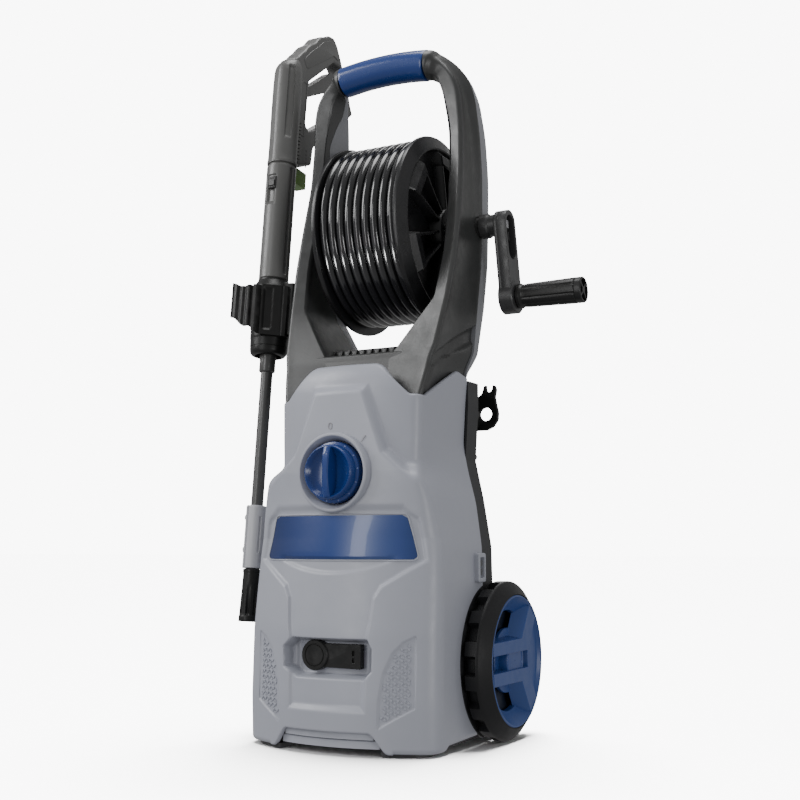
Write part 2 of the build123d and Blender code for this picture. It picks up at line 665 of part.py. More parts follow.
def pump_body():
    """Cast case round the swash plate and the piston bores."""
    case = upright(48, 128, MOTOR_Z0 - 1.2) - upright(41, 160, MOTOR_Z0)
    for i in range(PISTONS):
        a = 2 * math.pi * i / PISTONS
        case = case - upright(8.2, 120, 170, PISTON_PITCH_R * math.cos(a), PISTON_PITCH_R * math.sin(a))
    return case


def pistons():
    parts = []
    for i in range(PISTONS):
        a = 2 * math.pi * i / PISTONS
        parts.append(upright(8, 130, 178, PISTON_PITCH_R * math.cos(a), PISTON_PITCH_R * math.sin(a)))
    return joined(parts)


def piston_springs():
    """Return springs, each stood in for by a sleeve of the coil's outer form."""
    parts = []
    for i in range(PISTONS):
        a = 2 * math.pi * i / PISTONS
        x, y = PISTON_PITCH_R * math.cos(a), PISTON_PITCH_R * math.sin(a)
        parts.append(upright(11.5, 160.2, 176, x, y) - upright(8.3, 159, 177, x, y))
    return joined(parts)


def pump_head():
    """Valve block under the pump, with the inlet and outlet ports."""
    block = upright(48, PUMP_Z0, 128)
    outlet = rod((-30, MOTOR_Y, 100), (-74, MOTOR_Y, 100), 11)
    inlet = rod((0, MOTOR_Y + 30, 100), (0, MOTOR_Y + 57, 100), 11)
    front = rod((CAP_AT[0], MOTOR_Y - 30, CAP_AT[1]), (CAP_AT[0], POCKET["floor"] + 15, CAP_AT[1]), 9)
    return joined([block, outlet, inlet, front])


def motor_mounts():
    parts = []
    for x in (-42, 42):
        for y in (-35, 35):
            parts.append(rod((x, MOTOR_Y + y, 62), (x, MOTOR_Y + y, PUMP_Z0), 9))
    return joined(parts)


def capacitor():
    return rod((84, 40, 150), (84, 40, 230), 19)


def pressure_switch():
    return box(-100, -74.2, MOTOR_Y - 20, MOTOR_Y + 20, 80, 122)


def switch_box():
    block = box(-32, 32, -92, -72, KNOB_Z - 30, KNOB_Z + 30)
    return block - rod((0, -95, KNOB_Z), (0, -65, KNOB_Z), 6 + FIT)


def water_inlet():
    """Garden-hose inlet on the back."""
    pipe = rod((-52, 96, 130), (-52, REAR_Y, 130), 13) + rod((-52, REAR_Y, 130), (-52, 138, 130), 12)
    flange = rod((-52, REAR_Y, 130), (-52, REAR_Y + 3, 130), 18)
    return (pipe + flange) - rod((-52, 104, 130), (-52, 140, 130), 8)


def inlet_filter():
    return rod((-52, 106, 130), (-52, 130, 130), 7.8)


def cord_gland():
    return rod((52, 100, 170), (52, REAR_Y, 170), 11) + rod((52, REAR_Y, 170), (52, REAR_Y + 12, 170), 9)


def screws():
    """Screws that hold the rear housing and the rear halves of the legs."""
    parts = []
    for x in (-84, 84):
        for z in (60, 250, 360):
            parts.append(rod((x, REAR_Y - 9, z), (x, REAR_Y + 1.5, z), 4))
    for x in (-108, 108):
        parts.append(rod((x, 76, 590), (x, 92, 590), 3.5))
        parts.append(rod((x, 84, 760), (x, 100, 760), 3.5))
    return joined(parts)


def hose_swivel():
    """Rotary joint in the left leg that feeds the hollow reel shaft."""
    body = rod((-104, REEL_Y, REEL_Z), (-114, REEL_Y, REEL_Z), 18)
    return body - rod((-95, REEL_Y, REEL_Z), (-130, REEL_Y, REEL_Z), BUSH_R)


NODES = {
    "front_housing": front_housing, "rear_housing": rear_housing, "base_pan": base_pan,
    "label_plate": label_plate, "knob_bezel": knob_bezel, "nozzle_clip": nozzle_clip, "cable_hook": cable_hook,
    "frame_front_shell": frame_front_shell, "frame_rear_shell": frame_rear_shell,
    "handle_tube": handle_tube, "handle_grip": handle_grip, "reel_bushes": reel_bushes,
    "lance_holder": lance_holder, "axle": axle, "axle_washers": axle_washers,
    "motor_housing": motor_housing, "stator": stator, "motor_bearings": motor_bearings,
    "pump_body": pump_body, "pistons": pistons, "piston_springs": piston_springs, "pump_head": pump_head,
    "motor_mounts": motor_mounts, "capacitor": capacitor, "pressure_switch": pressure_switch,
    "switch_box": switch_box, "water_inlet": water_inlet, "inlet_filter": inlet_filter,
    "cord_gland": cord_gland, "screws": screws, "hose_swivel": hose_swivel,
    "rotor": rotor, "cooling_fan": cooling_fan, "swash_plate": swash_plate,
    "power_knob": power_knob, "outlet_cap": outlet_cap,
    "reel_drum": reel_drum, "reel_flange_left": lambda: reel_flange(-1),
    "reel_flange_right": lambda: reel_flange(1), "reel_shaft": reel_shaft, "hose_coil": hose_coil,
    "hose_connector": hose_connector, "crank_arm": crank_arm,
    "crank_pin": crank_pin, "crank_grip": crank_grip,
    "tyre_left": lambda: tyre(-1), "tyre_right": lambda: tyre(1),
    "rim_left": lambda: rim(-1), "rim_right": lambda: rim(1),
    "gun_shell_left": lambda: gun_shell(-1), "gun_shell_right": lambda: gun_shell(1),
    "gun_barrel": gun_barrel, "gun_valve": gun_valve, "trigger": trigger,
    "pressure_selector": pressure_selector, "lance_latch": lance_latch,
    "lance_tube": lance_tube, "nozzle_body": nozzle_body, "nozzle_tip": nozzle_tip,
}


def main():
    os.makedirs("parts", exist_ok=True)
    for name, make in NODES.items():
        shape = make()
        export_step(Compound(children=list(shape.solids())) if len(shape.solids()) > 1 else shape.solids()[0],
                    f"parts/{name}.step")
        print(name, len(shape.solids()), round(shape.volume))


main()
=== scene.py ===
"""Upright pressure washer: the visual model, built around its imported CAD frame.

Lengths are millimetres here, and become metres where a mesh is made. +Z is up, +Y is the back, and
+X is the side with the crank. Every piece is modelled in place, with its object at the origin.
"""
import itertools
import math

import bmesh
import bpy
import numpy as np
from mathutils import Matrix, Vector


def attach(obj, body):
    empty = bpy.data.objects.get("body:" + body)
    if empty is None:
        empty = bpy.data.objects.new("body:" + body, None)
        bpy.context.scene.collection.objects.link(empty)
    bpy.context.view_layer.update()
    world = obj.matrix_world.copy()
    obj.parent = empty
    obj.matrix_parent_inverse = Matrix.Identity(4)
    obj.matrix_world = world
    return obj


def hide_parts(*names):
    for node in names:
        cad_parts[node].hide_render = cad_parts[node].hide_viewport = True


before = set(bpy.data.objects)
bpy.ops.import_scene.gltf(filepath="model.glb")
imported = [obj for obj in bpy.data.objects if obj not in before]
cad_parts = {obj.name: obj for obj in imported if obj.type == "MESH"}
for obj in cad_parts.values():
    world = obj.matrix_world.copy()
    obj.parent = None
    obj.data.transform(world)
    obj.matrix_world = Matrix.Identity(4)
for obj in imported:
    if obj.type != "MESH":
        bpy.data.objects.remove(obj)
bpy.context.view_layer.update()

MM = 0.001
TAU = 2 * math.pi


# ---- camera and light ----
CAMERA_AT = (0.732, -1.3268, 0.239)
CAMERA_YAW, CAMERA_PITCH = 27.784, 7.166
CAMERA_LENS = 52.74
FILL, GROUND = 0.42, 9.0


def make_camera():
    camera = bpy.data.objects.new("camera", bpy.data.cameras.new("camera"))
    camera.data.lens = CAMERA_LENS
    camera.data.sensor_width = 36
    camera.location = CAMERA_AT
    camera.rotation_euler = (math.radians(90 + CAMERA_PITCH), 0, math.radians(CAMERA_YAW))
    bpy.context.collection.objects.link(camera)
    bpy.context.scene.camera = camera


def make_light(name, at, target, size, power):
    light = bpy.data.objects.new(name, bpy.data.lights.new(name, "AREA"))
    light.data.shape = "RECTANGLE"
    light.data.size, light.data.size_y = size
    light.data.energy = power
    light.location = at
    aim = Vector(target) - Vector(at)
    light.rotation_euler = aim.to_track_quat("-Z", "Y").to_euler()
    bpy.context.collection.objects.link(light)
    return light


def light_only(light, name, lit):
    """Keeps a light to one object, by a collection of that name."""
    group = bpy.data.collections.new(name)
    group.objects.link(lit)
    light.light_linking.receiver_collection = group


def feed(tree, node, **inputs):
    """Sets a node's inputs to values, or links them to sockets. A _ in a name stands for a space."""
    for name, value in inputs.items():
        socket = node.inputs[name.replace("_", " ")]
        if isinstance(value, bpy.types.NodeSocket):
            tree.links.new(value, socket)
        else:
            socket.default_value = value
    return node


def add_node(tree, kind, **inputs):
    return feed(tree, tree.nodes.new("ShaderNode" + kind), **inputs)


def make_world(fill, ground):
    """Even white fill, with a brighter white ground behind the object."""
    world = bpy.data.worlds.new("studio")
    world.use_nodes = True
    tree = world.node_tree
    seen = add_node(tree, "LightPath").outputs["Is Camera Ray"]
    level = add_node(tree, "MapRange", Value=seen, To_Min=fill, To_Max=ground)
    feed(tree, tree.nodes["Background"], Color=(1, 1, 1, 1), Strength=level.outputs["Result"])
    bpy.context.scene.world = world


make_camera()
make_world(FILL, GROUND)
make_light("key", (-2.3, -1.65, 2.2), (0, 0, 0.55), (1.3, 2.0), 80)
make_light("front_strip", (-0.55, -2.9, 0.7), (0, 0, 0.55), (0.55, 2.6), 30)
make_light("side_low", (2.3, -1.0, 0.3), (0.1, 0, 0.2), (0.8, 0.5), 13)
make_light("side_back", (2.4, 1.3, 1.0), (0, 0, 0.6), (0.3, 1.8), 3)
make_light("top", (0.1, 0.1, 2.6), (0, 0, 0.5), (1.2, 1.2), 30)
make_light("rim", (-1.1, 2.3, 2.1), (0, 0, 0.6), (1.4, 1.2), 15)


# ---- materials ----
def noise(tree, scale, detail, vector):
    return add_node(tree, "TexNoise", Scale=scale, Detail=detail, Vector=vector).outputs["Fac"]


def spread(tree, value, low, high, start=0.3, end=0.7):
    """Carries a value from the range start to end over to the range low to high."""
    made = add_node(tree, "MapRange", Value=value, From_Min=start, From_Max=end, To_Min=low, To_Max=high)
    return made.outputs["Result"]


def mix(tree, amount, first, second):
    made = tree.nodes.new("ShaderNodeMix")
    made.data_type = "RGBA"
    return feed(tree, made, Factor=amount, A=first, B=second).outputs["Result"]


def shader(name, colour, rough, metal=0.0, grain=1400, bump=0.12, blotch=0.05, wear=0.25, coat=0.0,
           streak=1.0, specular=0.5, vary=0.06):
    """Moulded or machined finish: colour and gloss that vary, a fine grain, and paler worn edges."""
    material = bpy.data.materials.new(name)
    material.use_nodes = True
    tree = material.node_tree
    place = add_node(tree, "TexCoord").outputs["Object"]
    stretched = add_node(tree, "Mapping", Scale=(1, 1, streak), Vector=place).outputs["Vector"]
    clouds = noise(tree, 9, 3, place)
    scuffs = noise(tree, 70, 6, place)
    dark = (*(c * (1 - blotch) for c in colour), 1)
    light = (*(min(1.0, c * (1 + blotch)) for c in colour), 1)
    worn = (*(min(1.0, c * 1.25 + 0.06) for c in colour), 1)
    tone = mix(tree, spread(tree, clouds, 0, 1), dark, light)
    bend = add_node(tree, "NewGeometry").outputs["Pointiness"]
    patchy = tree.nodes.new("ShaderNodeMath")
    patchy.operation = "MULTIPLY"
    tree.links.new(spread(tree, bend, 0, 1, 0.52, 0.60), patchy.inputs[0])
    tree.links.new(spread(tree, scuffs, 0, wear, 0.4, 0.7), patchy.inputs[1])
    relief = add_node(tree, "Bump", Strength=bump, Distance=0.0004, Height=noise(tree, grain, 2, stretched))
    feed(tree, tree.nodes["Principled BSDF"], Metallic=metal, Specular_IOR_Level=specular, Coat_Weight=coat,
         Coat_Roughness=0.12, Base_Color=mix(tree, patchy.outputs["Value"], tone, worn),
         Roughness=spread(tree, scuffs, rough - vary, rough + vary), Normal=relief.outputs["Normal"])
    return material


BODY = shader("body_grey_plastic", (0.315, 0.326, 0.372), 0.40, bump=0.05, blotch=0.02, wear=0.1)
BODY_BLACK = shader("body_black_plastic", (0.016, 0.016, 0.018), 0.45, bump=0.15, blotch=0.03, specular=0.35)
FRAME = shader("frame_dark_plastic", (0.033, 0.034, 0.034), 0.38, bump=0.10, grain=1800, blotch=0.02,
               wear=0.08)
FRAME_PALE = shader("frame_pale_plastic", (0.20, 0.205, 0.222), 0.45, bump=0.08, blotch=0.02, wear=0.1)
BLACK = shader("black_plastic", (0.009, 0.009, 0.009), 0.38, bump=0.10, specular=0.25)
REEL_BLACK = shader("reel_black_plastic", (0.010, 0.010, 0.011), 0.32, bump=0.10, wear=0.1, specular=0.4)
BLUE = shader("blue_gloss_plastic", (0.009, 0.035, 0.168), 0.27, bump=0.004, blotch=0.02, wear=0.0, coat=0.1,
              vary=0.01)
DOT_BLUE = shader("knob_dot_pale", (0.12, 0.16, 0.34), 0.4)
MARK_GREY = shader("mark_grey", (0.24, 0.24, 0.26), 0.45)
BLUE_RIM = shader("blue_satin_plastic", (0.022, 0.060, 0.215), 0.36, bump=0.03, wear=0.0)
CRANK = shader("crank_dark_plastic", (0.036, 0.036, 0.037), 0.34, bump=0.08, wear=0.1, specular=0.4)
GUN_GREY = shader("gun_dark_plastic", (0.088, 0.088, 0.086), 0.36, bump=0.12, grain=1700, wear=0.12)
GREEN = shader("latch_green_plastic", (0.10, 0.23, 0.012), 0.30, bump=0.06)
LANCE_DARK = shader("lance_dark_plastic", (0.052, 0.052, 0.051), 0.34, bump=0.08, coat=0.1)
NOZZLE = shader("nozzle_grey_plastic", (0.40, 0.405, 0.43), 0.40, bump=0.06, wear=0.1)
HOSE = shader("hose_black_pvc", (0.006, 0.006, 0.007), 0.18, bump=0.02, grain=500, wear=0.0, coat=0.4,
              vary=0.03)
TYRE = shader("tyre_black_rubber", (0.009, 0.009, 0.010), 0.48, bump=0.25, grain=900, wear=0.1, specular=0.25)
CRANK_GRIP = shader("crank_grip_black", (0.012, 0.012, 0.012), 0.34, bump=0.08, wear=0.1, specular=0.3)
SELECTOR = shader("selector_black_plastic", (0.016, 0.016, 0.016), 0.40, bump=0.08, wear=0.1)
WHEEL_BACK = shader("wheel_back_blue", (0.010, 0.016, 0.034), 0.45, bump=0.1)
RECESS_GREY = shader("recess_dark_grey", (0.06, 0.062, 0.068), 0.5, bump=0.1)
STEEL = shader("plated_steel", (0.55, 0.55, 0.57), 0.30, metal=1.0, grain=400, bump=0.05, streak=0.05)
BRASS = shader("brass", (0.70, 0.47, 0.16), 0.30, metal=1.0, grain=500, bump=0.05)
CAST = shader("cast_aluminium", (0.50, 0.50, 0.51), 0.50, metal=1.0, grain=700, bump=0.3)
RUBBER = shader("soft_rubber", (0.016, 0.016, 0.016), 0.6, bump=0.2)
FILTER = shader("filter_white", (0.7, 0.7, 0.68), 0.6, bump=0.2)


# ---- meshes ----
SIDE_WORDS = {1: "right", -1: "left"}


def piece(name, points, faces, body, slot, material, stands_for=(), crease=35):
    """A mesh piece from points in millimetres. It rides on a CAD body."""
    mesh = bpy.data.meshes.new(name)
    mesh.from_pydata([tuple(c * MM for c in p) for p in points], [], faces)
    work = bmesh.new()
    work.from_mesh(mesh)
    bmesh.ops.recalc_face_normals(work, faces=work.faces)
    work.to_mesh(mesh)
    work.free()
    mesh.shade_smooth()
    mesh.set_sharp_from_angle(angle=math.radians(crease))
    mesh.materials.append(material)
    made = bpy.data.objects.new(name, mesh)
    bpy.context.collection.objects.link(made)
    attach(made, body)
    if stands_for:
        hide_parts(*stands_for)
    return made


def bevelled(made, width, segments=2, angle=30):
    """Rounds a piece's edges."""
    cut = made.modifiers.new("edges", "BEVEL")
    cut.width = width * MM
    cut.segments = segments
    cut.limit_method = "ANGLE"
    cut.angle_limit = math.radians(angle)
    cut.harden_normals = True
    return made


def grid_faces(rows, columns, wrap=False):
    """Quads of a grid of points stored row by row."""
    faces = []
    for r in range(rows - 1):
        low, high = r * columns, (r + 1) * columns
        for c in range(columns if wrap else columns - 1):
            d = (c + 1) % columns
            faces.append((low + c, low + d, high + d, high + c))
    return faces


def rings_mesh(rings, loop=False):
    """Points and faces of a skin through closed rings, with end caps. With loop it closes on itself."""
    count = len(rings[0])
    points = [p for ring in rings for p in ring]
    faces = grid_faces(len(rings), count, True)
    last = (len(rings) - 1) * count
    if loop:
        faces += [(last + c, last + (c + 1) % count, (c + 1) % count, c) for c in range(count)]
    else:
        faces += [tuple(range(count))[::-1], tuple(last + c for c in range(count))]
    return points, faces


def merged(parts):
    """One set of points and faces out of several."""
    points, faces = [], []
    for some_points, some_faces in parts:
        base = len(points)
        points += list(some_points)
        faces += [tuple(base + i for i in face) for face in some_faces]
    return points, faces


def lathe(profile, place, segments=64):
    """Turns a closed outline of (along, radius) points. place(along, radius, angle) gives the point."""
    turns = [TAU * i / segments for i in range(segments)]
    return rings_mesh([[place(*spot, turn) for spot in profile] for turn in turns], loop=True)


def facing_up(a, b, c):
    """(x, y, z) as it is: a plate that faces upwards."""
    return (a, b, c)


def facing_front(a, b, c):
    """(x, z, y) to a point: a plate that faces the front or the back."""
    return (a, c, b)


def facing_side(a, b, c):
    """(y, z, x) to a point: a plate that faces a side."""
    return (c, a, b)


def slab(outline, place, low, high):
    """Carries an outline of (a, b) points from low to high. place(a, b, c) gives the point."""
    return rings_mesh([[place(a, b, c) for a, b in outline] for c in (low, high)])


def bezier(start, bend, end, t):
    """Point on a quadratic curve, for numbers, arrays or vectors."""
    return start * (1 - t) ** 2 + bend * 2 * t * (1 - t) + end * t ** 2


def steps_between(a, b, count):
    """Even steps from point a to point b, without b itself."""
    return [tuple(p + (q - p) * k / count for p, q in zip(a, b)) for k in range(count)]


def pairs(outline):
    """Each point of a closed outline with the next one."""
    return zip(outline, outline[1:] + outline[:1])


def rounded(outline, radius, steps=5):
    """An outline with its corners rounded. radius is one number, or one for each corner."""
    made = []
    for i, corner in enumerate(outline):
        r = radius[i] if isinstance(radius, list) else radius
        here = Vector(corner)
        into, out = Vector(outline[i - 1]) - here, Vector(outline[(i + 1) % len(outline)]) - here
        turn = into.angle(out)
        if turn > math.radians(176):
            made.append(tuple(here))
            continue
        reach = min(r / math.tan(turn / 2), into.length * 0.48, out.length * 0.48)
        a, b = here + into.normalized() * reach, here + out.normalized() * reach
        made += [tuple(bezier(a, here, b, k / steps)) for k in range(steps + 1)]
    return made


def circle(x, y, radius, steps):
    turns = [TAU * i / steps for i in range(steps)]
    return [(x + radius * math.cos(turn), y + radius * math.sin(turn)) for turn in turns]


# ---- fields over a surface, for relief ----
def depth_inside(x, z, outline):
    """How far inside an outline each point is, negative outside."""
    best = np.full(x.shape, 1e9)
    inside = np.zeros(x.shape, bool)
    for (ax, az), (bx, bz) in pairs(outline):
        ex, ez = bx - ax, bz - az
        t = np.clip(((x - ax) * ex + (z - az) * ez) / (ex * ex + ez * ez), 0, 1)
        best = np.minimum(best, np.hypot(x - ax - t * ex, z - az - t * ez))
        if ez:
            inside ^= ((az > z) != (bz > z)) & (x < ex * (z - az) / ez + ax)
    return np.where(inside, best, -best)


def soft(t):
    """0 to 1 with rounded ends."""
    t = np.clip(t, 0, 1)
    return t - 0.16 * np.sin(TAU * t)


def eased(value, rows, reach):
    """Linear table lookup with its corners softened over +-reach. rows are (key, value, ...)."""
    keys, *columns = zip(*rows)
    return [sum(np.interp(value + reach * k / 2, keys, column) for k in (-2, -1, 0, 1, 2)) / 5
            for column in columns]


def symmetric(right_half):
    """A closed outline from the right-hand half of its points, top to bottom."""
    return right_half + [(-x, z) for x, z in reversed(right_half)]


# ---- hose on the reel ----
REEL_Y, REEL_Z = 62.0, 660.0
COIL_Z = REEL_Z + 3.5
HOSE_D = 12.0
HOSE_X0, HOSE_PITCH, HOSE_TURNS = -50.0, 12.4, 9
OUTER_R = 117.0
INNER_R = 104.6
INNER_TURNS = 5.25
INNER_X0 = 46.0                                 # where the hose leaves the drum
JOG = (math.radians(10), math.radians(60))      # where each turn steps across to the next, at the back
CLIMB = (math.radians(38), math.radians(85))    # where the inner layer climbs to the outer one
HOSE_END = TAU * HOSE_TURNS - math.radians(9.2)
POINTS_PER_TURN = 28


def coil_point(x, radius, angle):
    """Angle 0 is the back of the reel and it grows downwards, then to the front."""
    radius = radius / math.cos(math.pi / POINTS_PER_TURN)
    return (x, REEL_Y + radius * math.cos(angle), COIL_Z - radius * math.sin(angle))


def smooth_step(t):
    t = min(max(t, 0.0), 1.0)
    return t * t * (3 - 2 * t)


def hose_route():
    step = TAU / POINTS_PER_TURN
    start = CLIMB[0] - TAU * INNER_TURNS
    count = round((HOSE_END - start) / step)
    route = []
    for i in range(count + 1):
        angle = start + (HOSE_END - start) * i / count
        if angle < CLIMB[0]:
            along = (angle - start) / (CLIMB[0] - start)
            x = INNER_X0 + (HOSE_X0 - INNER_X0) * along
            radius = INNER_R
        else:
            radius = INNER_R + (OUTER_R - INNER_R) * smooth_step((angle - CLIMB[0]) / (CLIMB[1] - CLIMB[0]))
            turn, rest = divmod(angle, TAU)
            x = HOSE_X0 + HOSE_PITCH * turn
            if turn:
                x += HOSE_PITCH * (smooth_step((rest - JOG[0]) / (JOG[1] - JOG[0])) - 1)
        route.append(coil_point(x, radius, angle))
    return route


def make_hose():
    route = hose_route()
    curve = bpy.data.curves.new("hose", "CURVE")
    curve.dimensions = "3D"
    curve.resolution_u = 3
    curve.bevel_depth = HOSE_D / 2 * MM
    curve.bevel_resolution = 6
    curve.use_fill_caps = True
    line = curve.splines.new("NURBS")
    line.points.add(len(route) - 1)
    for point, place in zip(line.points, route):
        point.co = (*(c * MM for c in place), 1)
    line.order_u = 3
    line.use_endpoint_u = True
    hose = bpy.data.objects.new("hose", curve)
    bpy.context.collection.objects.link(hose)
    curve.materials.append(HOSE)
    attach(hose, "reel")
    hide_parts("hose_coil")
    dense = [sum((Vector(p) for p in route[i:i + 2]), Vector()) / 2 for i in range(len(route) - 1)]
    length = sum((b - a).length for a, b in zip(dense, dense[1:]))
    length += (dense[0] - Vector(route[0])).length + (Vector(route[-1]) - dense[-1]).length
    return hose, length * MM, route


def along_z(x, y):
    return lambda along, radius, angle: (x + radius * math.cos(angle), y + radius * math.sin(angle), along)


def make_connector(route):
    """Brass fitting on the hose's free end, with a ribbed collar and a threaded nose."""
    x, y = HOSE_X0 + HOSE_PITCH * (HOSE_TURNS - 1), REEL_Y + OUTER_R
    top, foot = route[-1][2], REEL_Z - 17
    profile = [(top, 3.6), (top, 6.2), (top - 16, 6.2), (top - 17, 5.2), (top - 19, 5.2), (top - 19.5, 6.3),
               (top - 27, 6.3), (top - 28, 4.6), (foot, 4.4), (foot, 2.6), (top - 20, 2.6), (top - 20, 3.6)]
    made = piece("hose_fitting", *lathe(profile, along_z(x, y), 24), "reel", "brass", BRASS,
                 ["hose_connector"])
    return bevelled(made, 0.4, 1)


hose, hose_length, hose_points = make_hose()
fitting = make_connector(hose_points)


def plate(outer, holes, place, low, high, edge=0.0, steps=2):
    """A flat plate with holes, from low to high, with rounded edges. place(a, b, c) gives the point."""
    curve = bpy.data.curves.new("outline", "CURVE")
    curve.dimensions = "2D"
    curve.fill_mode = "BOTH"
    curve.extrude = (high - low) / 2 - edge
    curve.bevel_depth = edge
    curve.bevel_resolution = steps
    curve.offset = -edge
    for outline in [outer, *holes]:
        line = curve.splines.new("POLY")
        line.points.add(len(outline) - 1)
        for point, (a, b) in zip(line.points, outline):
            point.co = (a, b, 0, 1)
        line.use_cyclic_u = True
    holder = bpy.data.objects.new("outline", curve)
    flat = bpy.data.meshes.new_from_object(holder)
    middle = (low + high) / 2
    points = [place(v.co.x, v.co.y, middle + v.co.z) for v in flat.vertices]
    faces = [tuple(f.vertices) for f in flat.polygons]
    bpy.data.meshes.remove(flat)
    bpy.data.objects.remove(holder)
    bpy.data.curves.remove(curve)
    return points, faces


# ---- front housing ----
SEAM_Y = 38.0
WHEEL_Y, WHEEL_R = 65.0, 98.4
KNOB_Z = 329.0
# height, then y of the middle, x of the front corner, x at the seam
UPPER_BODY = [(240, -96, 86, 129), (295, -96.5, 86.5, 121.5), (330, -97, 87, 112.5), (350, -97, 87, 108.5),
              (368, -97, 88, 105), (420, -97, 89, 108), (440, -96.5, 89, 109.5), (453, -93, 89, 111),
              (461, -88, 89, 111.5), (470, -80, 89, 112)]
FRONT_BULGE = 0.0023        # how strongly the front curves back towards its corners
LOWER_BODY = [(0, -130, 114, 131), (60, -132, 115, 131), (140, -129.5, 115, 131),
              (240, -117.5, 112.5, 129.5), (295, -110, 105, 122), (330, -108, 97.5, 113),
              (350, -107, 95, 108.5), (421, -103.5, 95, 104), (470, -101, 95, 104)]
# outlines between which the lower body blends into the upper one, in (way round, height)
SHOULDER_OUTER = [(43, 441), (71, 362), (77, 359), (94, 345), (500, 431), (500, -300)]
SHOULDER_INNER = [(30, 423), (58, 350), (97, 309), (500, 245), (500, -310)]
# outlines pressed into the front, in (x, z): the recess round the label, the pocket and a grip patch
RECESS = [(90, 293), (109, 276), (119, 222), (68, 191), (61, 179), (56, 136), (55, 47)]
POCKET = [(-50, 134), (55, 134), (61, 122), (61, 96), (51, 85), (-42, 85), (-62, 97), (-64, 122)]
PATCH = [(109, 139), (108, 55), (66, 31), (67, 62), (72, 94), (82, 118), (94, 131)]
FRONT_SHARE, CORNER_SHARE = 0.60, 0.66
FRONT_REACH, SIDE_REACH = 95.0, 118.0
LIP = 3.0


def lower_bulge(z):
    return np.interp(z, [250, 330], [FRONT_BULGE, 0.0012])


def seam_line(z):
    """y of the seam between the housings. It bends forward round the wheel."""
    drop = np.clip(97.0 ** 2 - (z - WHEEL_R) ** 2, 0, None)
    arch = WHEEL_Y - np.sqrt(drop)
    arch = np.where(z < 50, np.maximum(arch, -19.0), arch)
    return np.minimum(SEAM_Y, arch)


def plan_section(z, share, stations, bulge, radius):
    """Point (x, y) on the right half of a body's plan outline. share is 0 at the middle and 1 at the seam."""
    middle, corner, seam = eased(z, stations, 8)
    edge = middle + bulge * corner ** 2
    t = np.clip(share / FRONT_SHARE, 0, 1)
    x, y = corner * t, middle + bulge * (corner * t) ** 2
    bend_x, bend_y = corner + radius, edge + 2 * bulge * corner * radius
    slope = (seam - bend_x) / (SEAM_Y - bend_y)
    side_x, side_y = bend_x + slope * radius, bend_y + radius
    t = np.clip((share - FRONT_SHARE) / (CORNER_SHARE - FRONT_SHARE), 0, 1)
    x = np.where(share > FRONT_SHARE, bezier(corner, bend_x, side_x, t), x)
    y = np.where(share > FRONT_SHARE, bezier(edge, bend_y, side_y, t), y)
    t = np.clip((share - CORNER_SHARE) / (1 - CORNER_SHARE), 0, 1)
    end = seam_line(z) - 0.2
    far_x = side_x + (seam - side_x) * (end - side_y) / (SEAM_Y - side_y)
    x = np.where(share > CORNER_SHARE, side_x + (far_x - side_x) * t, x)
    y = np.where(share > CORNER_SHARE, side_y + (end - side_y) * t, y)
    return x, y


def reach_of(share):
    """Way round the housing from the middle of its front, at a share of its half outline."""
    side = np.clip((share - CORNER_SHARE) / (1 - CORNER_SHARE), 0, 1)
    return np.where(share < FRONT_SHARE, share / FRONT_SHARE * FRONT_REACH, FRONT_REACH + side * SIDE_REACH)


def body_point(z, share):
    """The housing's outside, with the raised middle blending into the slimmer shoulders."""
    reach = reach_of(share)
    outer = np.clip(depth_inside(reach, z, symmetric(SHOULDER_OUTER)), 0, None)
    inner = np.clip(-depth_inside(reach, z, symmetric(SHOULDER_INNER)), 0, None)
    blend = soft(outer / (outer + inner + 1e-6))
    up_x, up_y = plan_section(z, share, UPPER_BODY, FRONT_BULGE, 10.0)
    radius = np.interp(z, [200, 300, 350], [16, 11, 5])
    low_x, low_y = plan_section(z, share, LOWER_BODY, lower_bulge(z), radius)
    return up_x + (low_x - up_x) * blend, up_y + (low_y - up_y) * blend


def front_relief(x, z):
    """How deep each point of the front is pressed in."""
    away = np.abs(x)
    inside = depth_inside(away, z, symmetric(RECESS))
    width = np.interp(z, [60, 120, 150, 190, 215, 268, 280], [12, 10, 5.5, 6, 9, 9, 14])
    depth = 4.0 * soft(inside / width)
    smile = 224 - 19 * (1 - (away / 84) ** 2)
    under = np.minimum((z - smile) / 8, (229 - z) / 3)
    depth += 2.6 * soft(under) * (away < 84)
    depth += 17.5 * soft(depth_inside(x, z, POCKET) / 7)
    depth += 1.6 * soft(depth_inside(away, z, PATCH) / 2.2)
    knob = np.hypot(x, z - KNOB_Z)
    depth += np.where(knob < 46, 12.0 * soft((46 - knob) / 2), 0)
    return depth


def top_edge(reach):
    rows = [(0, 464), (49, 464), (96, 421.5), (183, 463), (213, 457)]
    return eased(reach, rows, 5)[0]


def bottom_edge(reach):
    rows = [(0, 26), (49, 26), (63, 3.2), (104, 3.2), (116, 8.5), (213, 10)]
    return eased(reach, rows, 2.5)[0]


def rolled(distance, radius):
    """How far an edge of that radius draws in at a distance from the rim."""
    d = np.clip(radius - distance, 0, radius)
    return radius - np.sqrt(radius ** 2 - d ** 2)


